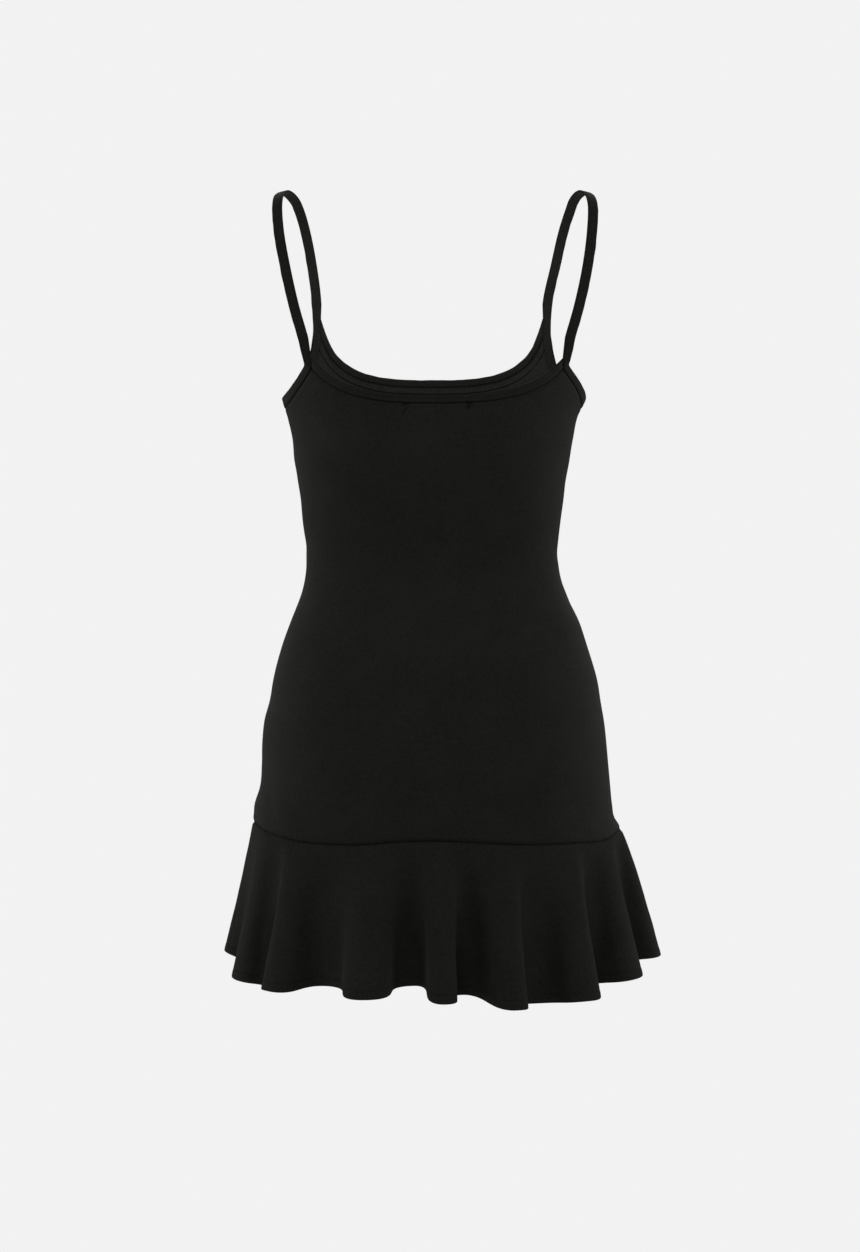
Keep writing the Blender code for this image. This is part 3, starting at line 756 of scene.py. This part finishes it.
# where the stitches sink in, from the strip's inner edge
STRAP_CHANNEL, NECK_CHANNEL = 1.5 * MM, 3.9 * MM


def strip_section(width, channel):
    """How far across the strip, and how far out of it, each point of the section lies."""
    half = BAND_THICKNESS / 2
    before = 1 if channel == STRAP_CHANNEL else 3
    across = np.concatenate([
        np.linspace(0.8 * MM, channel - 0.7 * MM, before),
        channel + np.array([-0.35, 0, 0.35, 0.8]) * MM,
        np.linspace(channel + 1.7 * MM, width - 1.1 * MM, 6 - before)])
    crown = half * (1 + 0.10 * np.sin(math.pi * across / width))
    out = crown - 0.28 * MM * bump(across - channel, 0.32 * MM)
    edge = [(width - inside * MM, share * half)
            for inside, share in ((0.45, 0.86), (0, 0.45), (0, -0.45), (0.45, -0.86))]
    under = [(a, -half * (1 + 0.06 * math.sin(math.pi * a / width)))
             for a in np.linspace(width - 1.1 * MM, 0.9 * MM, 6)]
    near = [(inside * MM, share * half)
            for inside, share in ((0.35, -0.84), (0, -0.42), (0, 0.42), (0.35, 0.8))]
    return np.array([*zip(across, out), *edge, *under, *near])


def sweep_strip(name, inner, outer, normals, channel, seed, closed=False, thin=1):
    """A strip between its seam and its free edge, a little uneven along its length, as a body
    and as the rings of points that it is made of."""
    along = lengths_along((inner + outer) / 2)
    width = float(np.median(np.linalg.norm(outer - inner, axis=1)))
    across, out = strip_section(width, channel).T
    way = unit(outer - inner)
    normals = unit(normals - way * dot(normals, way)[:, None])
    # a closed strip comes back to its start, so its unevenness fades out there
    ease = np.minimum(1, np.minimum(along, along[-1] - along) / (12 * MM)) if closed else 1
    plump = (1 + 0.05 * waves(along, 21 * MM, seed) * ease) * thin
    draw = 0.10 * MM * waves(along, 5.2 * MM, seed + 1) * ease
    edge = 0.16 * MM * waves(along, 24 * MM, seed + 2) * ease
    share = (across / width)[:, None]
    rings = inner[:, None] + (outer - inner)[:, None] * share
    rings = rings + way[:, None] * (edge[:, None, None] * np.clip(share - 0.5, 0, 1) * 2)
    lift = out * plump[:, None] - draw[:, None] * bump(across - channel, 1.6 * MM) * 0.6
    rings = rings + normals[:, None] * lift[..., None]
    places = together(lengths_along(together(across, out)), along[:, None])
    # painted shade along the strip's seam edge, its free edge and its stitch channel
    sunk_and_painted_shade = (0.9 * bump(across, 0.5 * MM) + 0.7 * bump(across - across.max(), 0.5 * MM)
            + 0.35 * bump(across - channel, 0.4 * MM) * (out > 0))
    print(f"{name} is {along[-1] * 1000:.0f} mm long")
    return tube(name, rings, places, sunk_and_painted_shade, closed), rings


print("a strip's section has", len(strip_section(STRAP_WIDTH, STRAP_CHANNEL)), "points")

# %% [markdown]
# ### From the armhole over the shoulder
#
# Twelve points say how the middle of a strap lies, and a smooth line joins them. Over the
# shoulder the strip's width points to the neck and slopes with the shoulder, as a worn strap
# does. Along the armholes the panel's edge sets it. The two are joined and softened at the
# corners.

# %% The way of the straps
# left out, right out, back, up: the middle of each strap from the back corner to the front one
STRAP = np.array([
    (123.4, 130.0, 69, -154.0), (131.3, 137.8, 71, -126.5), (140.5, 146.6, 69, -86.5),
    (147.3, 151.8, 59, -50.0), (150.0, 153.6, 39, -20.0), (149.0, 151.5, 20, -8.0),
    (145.0, 146.5, 3, -2.6), (137.0, 139.5, -19, -6.6), (132.5, 136.0, -37, -15.4),
    (128.2, 131.2, -52, -30.5), (121.8, 123.5, -64, -64.5), (117.3, 115.4, -67, -103.0),
])
CORNER_PINCH = {"back": 0.86, "front": 0.72}
SHOULDER_SLOPE = 0.25
# how far from a corner the strap is softened, and how often
CORNER_WIDTH, CORNER_ROUNDS = 13 * MM, 36


def strap_line(side, ends):
    """The middle of the free strap from its back corner to its front corner."""
    rows = STRAP[:, [0, 2, 3]] if side == "left" else STRAP[:, 1:] * (-1, 1, 1)
    knots = np.array([ends[0], *rows * MM, ends[1]])
    along = lengths_along(knots)
    places = np.linspace(along[1], along[-2], round((along[-2] - along[1]) / BAND_STEP) + 1)
    return together(*[curve_through(along, axis)(places) for axis in knots.T])


def strap_edges(side):
    """The seam edge, free edge and normals of one long strip, and where its two corners are."""
    # the strip goes up one armhole run, over the shoulder, and down the run of the other face
    faces, order = (("back", "front"), 1) if side == "left" else (("front", "back"), -1)
    runs = BAND_RUNS[faces[0]][0], BAND_RUNS[faces[1]][2]
    neckward = np.array([-order, 0, SHOULDER_SLOPE])
    ends = [run.points[at] - run.inward[at] * STRAP_WIDTH / 2 for run, at in zip(runs, (-1, 0))]
    free = strap_line(side, ends[::order])[::order]
    ways = unit(np.gradient(np.array([ends[0], *free, ends[1]]), axis=0)[1:-1])
    widths = unit(neckward - ways * (ways @ neckward)[:, None])
    facing = np.cross(widths, ways)
    parts = []
    for face, run, at, meets in zip(faces, runs, (-1, 0), (0, -1)):
        steps, normals = run.inward.copy(), run.normals.copy()
        steps[at] = unit(run.inward[at] + widths[meets]) * CORNER_PINCH[face]
        normals[at] = unit(run.normals[at] + facing[meets])
        parts.append((run.points, run.points - steps * STRAP_WIDTH, normals))
    half = widths * STRAP_WIDTH / 2
    rows = [np.concatenate([up, over, down[:-1]])
            for up, over, down in zip(parts[0], (free + half, free - half, facing), parts[1])]
    first = len(runs[0].points)
    return rows, (first - 1, first + len(free))


def even_strip(rows, marks):
    """The same strip with rings a step apart, and with its corners softened."""
    inner, outer, normals = [np.concatenate([row, row[:1]]) for row in rows]
    along = lengths_along((inner + outer) / 2)
    places = np.linspace(0, along[-1], round(along[-1] / BAND_STEP) + 1)[:-1]
    made = [together(*[np.interp(places, along, axis) for axis in row.T])
            for row in (inner, outer, normals)]
    near = np.max([bump(places - along[mark], CORNER_WIDTH) for mark in marks], axis=0)[:, None]
    for _ in range(CORNER_ROUNDS):
        made = [row + 0.5 * near * ((np.roll(row, 1, 0) + np.roll(row, -1, 0)) / 2 - row)
                for row in made]
    made[2] = unit(made[2])
    return made


straps = {}
for side, seed in (("left", 21), ("right", 31)):
    strip = even_strip(*strap_edges(side))
    straps[side] = sweep_strip(side + "_strap", *strip, STRAP_CHANNEL, seed, closed=True)

# %% [markdown]
# ### The neck bands
#
# A neck band ends against the straps. Each end is cut to lie along the strap's edge and slips a
# little way under it, getting thinner, so that no gap opens between them.

# %% Sweep the neck bands
END_REACH = 16 * MM
END_TUCK = 2.4 * MM
# a ring of the strap this many rings from the corner shows which way the strap leaves it
RINGS_UP = 9

bands = {}
for face, seed in (("back", 41), ("front", 51)):
    neck, width = BAND_RUNS[face][1], NECK_BAND_WIDTH[face]
    inner, across, thin = neck.points, -neck.inward * width, 1
    for end, beside, side in zip((0, -1), (1, -2), SIDES[face]):
        edge = straps[side][1][:, 1]
        nearest = int(np.argmin(np.linalg.norm(edge - neck.points[end], axis=1)))
        up = max([(nearest + by) % len(edge) for by in (RINGS_UP, -RINGS_UP)],
                 key=lambda i: edge[i, 2])
        way = unit(edge[up] - edge[nearest])
        cut = way * width / (way @ -neck.inward[end])
        from_end = np.abs(neck.along - neck.along[end])
        share = np.clip(1 - from_end / END_REACH, 0, 1)[:, None]
        across = across * (1 - share) + cut * share
        thin = thin * np.clip(0.62 + 0.38 * from_end / (3 * MM), 0, 1)
        tucked = END_TUCK * np.clip(1 - from_end / (4 * MM), 0, 1)[:, None]
        inner = inner + unit(inner[end] - inner[beside]) * tucked
    bands[face] = sweep_strip(face + "_neck_band", inner, inner + across, neck.normals,
                              NECK_CHANNEL, seed, thin=thin)

# %% [markdown]
# ## The frill
#
# A frill is a part circle. Its inner edge is as long as the seam and its outer edge is much
# longer, and the extra length falls into folds that grow towards the hem. Each ridge and each
# trough has its own place, reach and drop in a table. Where a fold hangs over its neighbour, the
# cloth swings back under its head: `left` and `right` say how far. A cloth simulation also makes
# such folds, but not these ones in these places.

# %% Folds of the frill
Fold = namedtuple("Fold", "ridge out drop trough inward trough_drop growth left right")
FOLDS = [Fold(*row) for row in (
    (26, 13, 138, 36, 8, 139.5, 1.1, 1.6, 1.3),
    (43.5, 15, 135.7, 58, 20, 129.7, 1.1, 1.9, 1.5),
    (73.4, 15, 136.2, 85.3, 24, 131, 0.9, 1.4, 1.9),
    (92, 16, 142, 98.3, 26.5, 139, 0.95, 0.9, 1.45),
    (108.9, 17, 145.5, 117.5, 16, 144.3, 0.9, 0.6, 1.9),
    (133, 14, 141.2, 140, 20, 132.5, 1.1, 1.8, 2.2),
    (153, 16, 128.5, 162, 12, 124, 1.1, 2.0, 2.5),
    (173, 20, 121, 185, 15, 121, 0.75, 1.9, 2.0),
    (197, 14, 128, 208, 18, 127, 1.2, 1.9, 1.8),
    (219, 18, 136, 232, 18, 131, 1.1, 2.2, 1.8),
    (243, 13, 137, 254, 22, 132.5, 1.3, 1.8, 2.2),
    (264, 16, 141, 272, 16, 136, 1.2, 1.6, 1.8),
    (284, 17, 139, 298, 20, 132, 1.1, 1.8, 2.0),
    (310, 14, 137, 319, 17, 133, 1.2, 2.3, 1.5),
    (331, 16, 134, 342, 17, 130, 1.1, 1.7, 2.1),
    (353, 11, 126.5, 373, 12, 135, 1.3, 1.9, 1.8),
)]
# left, right, front, back and squareness of the ring that the hem's folds stand on
HEM_RING = (195.0 * MM, 202.0 * MM, 150.0 * MM, 156.0 * MM, 2.1)
FLARE_POWER = 0.92
FIRST_RIDGE = FOLDS[0].ridge
FLANK_STEPS = 22

# turn, reach, drop, growth and swing of each ridge and each trough in turn
knots = []
for fold, after in zip(FOLDS, FOLDS[1:] + FOLDS[:1]):
    knots.append((fold.ridge, fold.out, fold.drop, fold.growth, fold.right))
    growth = (fold.growth + after.growth) / 2
    knots.append((fold.trough, -fold.inward, fold.trough_drop, growth, after.left))
KNOTS = np.array(knots + [(FIRST_RIDGE + 360, *knots[0][1:])])
flanks = [np.linspace(a, b, FLANK_STEPS, endpoint=False) for a, b in zip(KNOTS[:, 0], KNOTS[1:, 0])]
FRILL_TURNS = np.unique(np.concatenate([*flanks, [0.0, 180.0]]) % 360)


def frill_point(turn, depth):
    """A point of the frill, from 0 at its seam to 1 at its hem, and how far it drops in all."""
    turn = (turn - FIRST_RIDGE) % 360 + FIRST_RIDGE
    i = np.clip(np.searchsorted(KNOTS[:, 0], turn) - 1, 0, len(KNOTS) - 2)
    a, b = KNOTS[i], KNOTS[i + 1]
    phase = (turn - a[..., 0]) / (b[..., 0] - a[..., 0])
    blend = (1 - np.cos(math.pi * phase)) / 2
    reach, drop, growth = [a[..., k] + (b[..., k] - a[..., k]) * blend for k in (1, 2, 3)]
    drop, grown = drop * MM, depth**growth
    out = reach * MM * grown
    swung = turn + a[..., 4] * np.sin(2 * math.pi * phase) * grown
    seam = frill_seam(turn)
    flare = depth**FLARE_POWER
    ring = [size(seam) + (hem - size(seam)) * flare for size, hem in zip(SIZES, HEM_RING)]
    x, y = ring_point(swung, *ring)
    ahead, behind = [together(*ring_point(swung + by, *ring)) for by in (0.5, -0.5)]
    way = unit(ahead - behind)
    return together(x + way[..., 1] * out, y - way[..., 0] * out, seam - drop * depth), drop


def frill_normal(turn, depth):
    low, high = np.minimum(depth + 0.01, 1.0), np.maximum(depth - 0.01, 0.0)
    along = frill_point(turn + 0.2, depth)[0] - frill_point(turn - 0.2, depth)[0]
    up = frill_point(turn, high)[0] - frill_point(turn, low)[0]
    return unit(np.cross(along, up))


print("the frill has", len(FOLDS), "folds and", len(FRILL_TURNS), "columns of points")

# %% [markdown]
# ### A half of the frill as a shell
#
# At the seam the cloth thins out, dips in with the panel and goes on up inside it as the seam
# allowance, so that no light comes through. At the hem it is turned up and stitched, so the
# inside of the hem is thicker and the stitches leave a shallow channel. A rounded rim closes the
# edge.

# %% Hem and shell of the frill
FRILL_THICKNESS = 1.2 * MM
SEWN_THICKNESS = 0.7 * MM
# the seam allowance, turned up inside the panel: how far up, and how far in from the body's form
ALLOWANCE = np.array([(6.5, 1.45), (5.6, 1.5), (4.4, 1.6), (3.0, 1.7), (1.8, 1.8), (0.9, 1.85),
                      (0.35, 1.75)]) * MM
HEM_DEPTH = 7.0 * MM
HEM_LAYER = 0.55 * MM
HEM_ROWS = np.array([0, 0.5, 1.1, 2, 3.2, 4.4, 5.4, 6.1, 6.6, 7, 7.4, 7.8, 8.2, 8.8, 10, 12]) * MM
MIDDLE_ROWS = 34
TURNED_UP = 7.9 * MM
TURNED_ROWS = 12


def frill_half(name, start):
    inside = FRILL_TURNS[(FRILL_TURNS > start) & (FRILL_TURNS < start + 180)]
    turns = np.array([start, *inside, start + 180])
    drop = frill_point(turns, 0 * turns)[1]
    seam_rows = CLOSE[:, None] / drop
    hem_rows = 1 - HEM_ROWS[::-1, None] / drop
    t = np.linspace(0, 1, MIDDLE_ROWS + 2)[1:-1, None]
    depth = np.concatenate([seam_rows, seam_rows[-1] + (hem_rows[0] - seam_rows[-1]) * t, hem_rows])
    turn = np.broadcast_to(turns, depth.shape)
    middle, drops = frill_point(turn, depth)
    normal = frill_normal(turn, depth)
    from_seam, from_hem = depth * drops, (1 - depth) * drops
    around = np.stack([lengths_along(row) for row in middle])
    raised = (
        0.5 * MM * waves(turn + 60 * depth, 23.0, 62) * depth * (1 - depth) * 2
        - seam_dip(turn) * bump(from_seam, SEAM_PINCH)
        - 0.25 * MM * bump(from_hem - HEM_DEPTH, 0.55 * MM)
        + 0.18 * MM * bump(from_hem - HEM_DEPTH / 2, 2.6 * MM)
    )
    doubled = 1 / (1 + np.exp(np.clip((from_hem - TURNED_UP) / (0.12 * MM), -40, 40)))
    pinch = (FRILL_THICKNESS - SEWN_THICKNESS) * bump(from_seam, SEAM_PINCH)
    half = (FRILL_THICKNESS - pinch) / 2
    outer = middle + normal * (raised + half)[..., None]
    inner = middle + normal * (raised - half - HEM_LAYER * doubled)[..., None]
    # the allowance follows the panel's inner side
    up, sunk_and_painted_shade = ALLOWANCE[:, :1], ALLOWANCE[:, 1:]
    height = frill_seam(turns) + up
    out = body_normal(turns, height)
    behind = body_point(turns, height) - out * (sunk_and_painted_shade + seam_dip(turns) - SEAM_DIP)[..., None]
    outer = np.concatenate([behind + out * SEWN_THICKNESS / 2, outer])
    inner = np.concatenate([behind - out * SEWN_THICKNESS / 2, inner])
    places = np.concatenate([together(around[0], up), together(around, -from_seam)])
    # painted shade at the seam, in the hem's stitch channel and on the allowance inside the panel
    sunk_and_painted_shade = 0.8 * bump(from_seam, SEAM_SHADE) + 0.35 * bump(from_hem - HEM_DEPTH, 0.5 * MM)
    sunk_and_painted_shade = np.concatenate([np.full(height.shape, 0.3), sunk_and_painted_shade])
    rim = round_rim(outer[-1], inner[-1], unit(middle[-1] - middle[-3]))
    made = cloth_shell(name, outer, inner, places, sunk_and_painted_shade, frill_jersey, rim, TURNED_ROWS)
    sewn = -1 - list(HEM_ROWS).index(HEM_DEPTH)
    return made, outer[sewn], normal[sewn], lengths_along(middle[-1])[-1]


back_frill, back_hem, back_hem_out, back_length = frill_half("back_frill", 0.0)
front_frill, front_hem, front_hem_out, front_length = frill_half("front_frill", 180.0)
HEM_LENGTH = back_length + front_length
print(f"the hem is {HEM_LENGTH * 1000:.0f} mm round, {HEM_LENGTH / SEAM_LENGTH:.2f} times the seam")

# %% [markdown]
# ## Stitches
#
# Sewing is the same small thing hundreds of times along a line, which is what Geometry Nodes are
# good at. The tree takes a line of points, each with the direction out of the cloth. It cuts the
# line into equal lengths, lays a short thread on each, and gives each a slight twist of its own
# from a fixed seed. The result is copied out as a plain mesh, so nothing depends on the modifier.

# %% A tree that sews along a line
TREE_INPUTS = {"Pitch": 2.6 * MM, "Stitch Length": 2.0 * MM, "Thread": 0.45 * MM, "Slant": 0.0,
               "Unevenness": 0.06, "Seed": 7}


def sewing_tree():
    tree = bpy.data.node_groups.new("sew_along", "GeometryNodeTree")

    def socket(name, kind, way="INPUT"):
        return tree.interface.new_socket(name, in_out=way, socket_type="NodeSocket" + kind)

    def add(kind, inputs=None, output=0, **settings):
        return add_node(tree, kind, inputs, **settings).outputs[output]

    socket("Geometry", "Geometry")
    for name, value in TREE_INPUTS.items():
        socket(name, "Int" if name == "Seed" else "Float").default_value = value
    socket("Material", "Material")
    socket("Geometry", "Geometry", "OUTPUT")
    given = tree.nodes.new("NodeGroupInput").outputs

    curve = add("GeometryNodeMeshToCurve", {"Mesh": given["Geometry"]})
    cut = add("GeometryNodeResampleCurve", {"Curve": curve, "Length": given["Pitch"]},
              mode="LENGTH")

    bead = add("GeometryNodeMeshUVSphere", {"Segments": 6, "Rings": 4, "Radius": 0.5})
    # the ball's poles point along Z, so it is laid down before it is drawn out along X
    lay = add("GeometryNodeTransform", {"Geometry": bead, "Rotation": (0, math.pi / 2, 0)})
    size = add("ShaderNodeCombineXYZ", {
        "X": given["Stitch Length"], "Y": given["Thread"], "Z": given["Thread"]})
    draw = add("GeometryNodeTransform", {"Geometry": lay, "Scale": size})

    tangent = add("GeometryNodeInputTangent")
    out = add("GeometryNodeInputNamedAttribute", {"Name": "out"}, "Attribute",
              data_type="FLOAT_VECTOR")
    to_line = add("FunctionNodeAlignRotationToVector", {"Vector": tangent}, axis="X")
    upright = add("FunctionNodeAlignRotationToVector", {"Rotation": to_line, "Vector": out},
                  axis="Z", pivot_axis="X")
    lowest = add("ShaderNodeMath", {0: given["Unevenness"], 1: -1.0}, operation="MULTIPLY")
    # a random number's limits are the third and fourth inputs, and the number the second output
    stray = add("FunctionNodeRandomValue", {
        2: lowest, 3: given["Unevenness"], "Seed": given["Seed"]}, 1, data_type="FLOAT")
    leaning = add("ShaderNodeMath", {0: stray, 1: given["Slant"]}, operation="ADD")
    about = add("ShaderNodeCombineXYZ", {"Z": leaning})
    twist = add("FunctionNodeEulerToRotation", {"Euler": about})
    turned = add("FunctionNodeRotateRotation", {"Rotation": upright, "Rotate By": twist},
                 rotation_space="LOCAL")

    sewn = add("GeometryNodeInstanceOnPoints", {
        "Points": cut, "Instance": draw, "Rotation": turned})
    real = add("GeometryNodeRealizeInstances", {"Geometry": sewn})
    soft = add("GeometryNodeSetShadeSmooth", {"Geometry": real})
    dressed = add("GeometryNodeSetMaterial", {"Geometry": soft, "Material": given["Material"]})
    add_node(tree, "NodeGroupOutput", {"Geometry": dressed})
    return tree


SEW = sewing_tree()
print("the sewing tree has", len(SEW.nodes), "nodes")


def sew_lines(name, lines, material=thread, **sizes):
    """Stitches along lines of (points, directions out, closed), as one plain mesh."""
    edges, start = [], 0
    for line, out, closed in lines:
        places = list(range(start, start + len(line)))
        start += len(line)
        edges += zip(places, places[1:] + places[:1] * closed)
    guide = bpy.data.meshes.new(name + "_guide")
    guide.from_pydata(np.concatenate([line for line, _, _ in lines]).tolist(), edges, [])
    attribute = guide.attributes.new("out", "FLOAT_VECTOR", "POINT")
    outs = np.concatenate([out for _, out, _ in lines])
    attribute.data.foreach_set("vector", outs.astype(np.float32).ravel())
    holder = in_scene(name + "_guide", guide)
    modifier = holder.modifiers.new("sew", "NODES")
    modifier.node_group = SEW
    wanted = {"seed": TREE_INPUTS["Seed"], "material": material, **sizes}
    for item in SEW.interface.items_tree:
        key = item.name.lower().replace(" ", "_")
        if item.in_out == "INPUT" and key in wanted:
            modifier[item.identifier] = wanted[key]
    graph = bpy.context.evaluated_depsgraph_get()
    plain = bpy.data.meshes.new_from_object(holder.evaluated_get(graph), depsgraph=graph)
    holder.modifiers.remove(modifier)
    bpy.data.objects.remove(holder)
    plain.name = name
    # the copy keeps an empty first slot, so its one material is put there
    plain.materials.clear()
    plain.materials.append(material)
    plain.polygons.foreach_set("material_index", np.zeros(len(plain.polygons), np.int32))
    return in_scene(name, plain)


# %% [markdown]
# ### The rows of the dress
#
# The hem has one row, and each strap has one in its channel. A neck band is held by two rows of a
# twin needle, one on the band and one on the panel below it. Inside, the thread that joins those
# rows lies as a thicker, looser line in a very dark thread. Seen through the neck inside the
# front, it also stands for the shadow line above the back band, as a painted shadow. Four small
# tacks stand on the outside of the back neck.

# %% Sew the rows
# how far the needle's second row and the looper's thread lie below the neck's seam
SECOND_ROW, LOOPER_ROW = 3.7 * MM, 6.9 * MM
# the tacks: from across and height, to across and height, and how far out, in millimetres
TACKS = [(23.6, -218.4, 29.2, -220.1, 0.75), (24.5, -222.7, 27.6, -226.9, 0.75),
         (-32.4, -216.6, -33.2, -222.8, 1.15), (-35.2, -216.2, -35.6, -218.9, 0.75)]


def channel_line(rings, at):
    """The bottom of a strip's stitch channel, just proud of the cloth, and the way out of it."""
    bottom = rings[:, at]
    out = unit(np.cross(np.gradient(bottom, axis=0), rings[:, at + 2] - rings[:, at - 2]))
    away = dot(out, bottom - rings[:, UNDER_MIDDLE])
    out = np.where(away[:, None] < 0, -out, out)
    return bottom + out * 0.08 * MM, out


def below_seam(face, down, lift):
    """A line along a neck seam, some way down the panel and off the middle of its cloth."""
    neck = BAND_RUNS[face][1]
    points = neck.points + neck.inward * down + neck.normals * lift
    return points[8:-8], neck.normals[8:-8] * math.copysign(1, lift), False


def tack_line(start_across, start_height, end_across, end_height, lift):
    across = np.linspace(start_across, end_across, 5) * MM
    height = np.linspace(start_height, end_height, 5) * MM
    turn = turn_at(across, height, "back")
    out = body_normal(turn, height)
    return body_point(turn, height) + out * lift * MM, out, False


hem_line = np.concatenate([back_hem, front_hem[1:-1]])
hem_out = np.concatenate([back_hem_out, front_hem_out[1:-1]])
hem_stitches = sew_lines("hem_stitches", [(hem_line + hem_out * 0.05 * MM, hem_out, True)])
rows = [(*channel_line(rings, 2), True) for _, rings in straps.values()]
rows += [(*channel_line(rings[6:-6], 4), False) for _, rings in bands.values()]
rows += [below_seam(face, SECOND_ROW, 0.88 * MM) for face in NECKLINES]
band_stitches = sew_lines("band_stitches", rows, pitch=2.5 * MM, stitch_length=1.9 * MM, seed=9)
tack_stitches = sew_lines("tack_stitches", [tack_line(*row) for row in TACKS], tack_thread,
                          pitch=1.4 * MM, stitch_length=2.6 * MM, thread=1.2 * MM, seed=3)
# the looper row's dark thread also stands for the shadow above the back band: painted shadow
rows = [below_seam(face, LOOPER_ROW, -0.6 * MM) for face in NECKLINES]
looper_stitches = sew_lines("looper_stitches", rows, tack_thread, pitch=2.0 * MM,
                            stitch_length=2.4 * MM, thread=0.9 * MM, seed=5, slant=0.25)

# %% [markdown]
# ## Tie the pieces to the frame
#
# Each piece of cloth stands for one solid, which is hidden, moves with the only body, and prints
# its area of cloth beside the flat box that it was cut to. A panel is cut as wide as half the
# frill's seam and as high as from that seam to a strap. Half a frill is half a flat ring, whose
# inner edge is half the seam and whose outer edge is half the hem. A band is a strip folded into a
# flat tube, and its flat width is what shows all round, halved.

# %% Hang each piece on the body and hide its solid
JERSEY, BINDING = "black_jersey", "black_binding"
# piece, node, slot, the flat box and the area inside it in metres, and how it is held
PIECES = [
    (back_body, "back_panel", JERSEY, (0.477, 0.460), 0.173, "stretched"),
    (front_body, "front_panel", JERSEY, (0.468, 0.510), 0.182, "stretched"),
    (back_frill, "back_flounce", JERSEY, (0.586, 0.290), 0.0963, "gathered"),
    (front_frill, "front_flounce", JERSEY, (0.568, 0.288), 0.0935, "gathered"),
    (bands["back"][0], "back_neck_binding", BINDING, (0.0100, 0.279), 0.00276, "stretched"),
    (bands["front"][0], "front_neck_binding", BINDING, (0.0100, 0.293), 0.00278, "stretched"),
    (straps["left"][0], "left_armhole_strap", BINDING, (0.0122, 0.583), None, "hung"),
    (straps["right"][0], "right_armhole_strap", BINDING, (0.0122, 0.581), None, "hung"),
]
for piece, node, slot, flat, area, held in PIECES:
    cloth, box = sum(face.area for face in piece.data.polygons) / 2, flat[0] * flat[1]
    print(f"{piece.name}: {cloth * 1e4:.0f} square cm of cloth, flat box {box * 1e4:.0f}")
    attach(piece, "root")
    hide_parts(node)
for piece in (hem_stitches, band_stitches, tack_stitches, looper_stitches):
    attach(piece, "root")

# %% [markdown]
# ## Floor, light and camera
#
# The dress hangs over a plain pale floor in a bright studio. The wall is bright to look at but
# gives the dress only a little light. Two soft boxes above, one in front and one behind, light it,
# and two soft boxes on each side reach along the cloth and pick out its edges.

# %% Set up the studio
WALL_TONE, PAPER_TONE = 0.888, 0.86
WALL_FILL = 0.02
TOP_POWER, SIDE_POWER = 34, 14
LIT_PLACE = Vector((0, 0, -0.42))
FLOOR_HEIGHT, FLOOR_RADIUS = -1.45, 1.4
DISTANCE = 2.3
CAMERA_PLACE = (0.00294, DISTANCE, -0.427)
METRES_PER_PIXEL = 0.00098
FRAME_HEIGHT = 1252
SENSOR = 36

scene = bpy.context.scene
scene.view_settings.view_transform = "Standard"
world = bpy.data.worlds.new("studio")
scene.world = world
world.use_nodes = True
backdrop = world.node_tree.nodes["Background"]
backdrop.inputs["Color"].default_value = (WALL_TONE, WALL_TONE, WALL_TONE, 1)
# the wall is bright to look at, and only a little of its light falls on the dress
seen = add_node(world.node_tree, "ShaderNodeLightPath").outputs["Is Camera Ray"]
strength = add_node(world.node_tree, "ShaderNodeMix", {"Factor": seen, "A": WALL_FILL, "B": 1.0})
world.node_tree.links.new(strength.outputs["Result"], backdrop.inputs["Strength"])


def soft_box(name, place, size, power):
    light = bpy.data.lights.new(name, "AREA")
    light.shape = "RECTANGLE"
    light.size, light.size_y = size
    light.energy = power
    made = in_scene(name, light)
    made.location = place
    made.rotation_euler = (LIT_PLACE - Vector(place)).to_track_quat("-Z", "Y").to_euler()
    made.visible_camera = False


for face in (1, -1):
    soft_box("top_box", (0, 1.9 * face, 1.3), (2.3, 1.4), TOP_POWER)
    for side in (1, -1):
        soft_box("side_box", (1.8 * side, 0.7 * face, -0.3), (0.8, 1.8), SIDE_POWER)

floor_mesh = bpy.data.meshes.new("floor")
bm = bmesh.new()
bmesh.ops.create_circle(bm, cap_ends=True, segments=96, radius=FLOOR_RADIUS)
bm.to_mesh(floor_mesh)
bm.free()
floor = in_scene("floor", floor_mesh)
floor.location = (0, 0, FLOOR_HEIGHT)
tone = (PAPER_TONE, PAPER_TONE, PAPER_TONE, 1)
floor_mesh.materials.append(new_material("paper", {"Base Color": tone, "Roughness": 0.9})[0])

camera = in_scene("camera", bpy.data.cameras.new("camera"))
scene.camera = camera
camera.location = CAMERA_PLACE
camera.rotation_euler = (math.radians(90), 0, math.radians(180))
camera.data.sensor_width = SENSOR
camera.data.lens = SENSOR * DISTANCE / (FRAME_HEIGHT * METRES_PER_PIXEL)
camera.data.clip_end = 50
print(f"the lens is {camera.data.lens:.1f} mm")
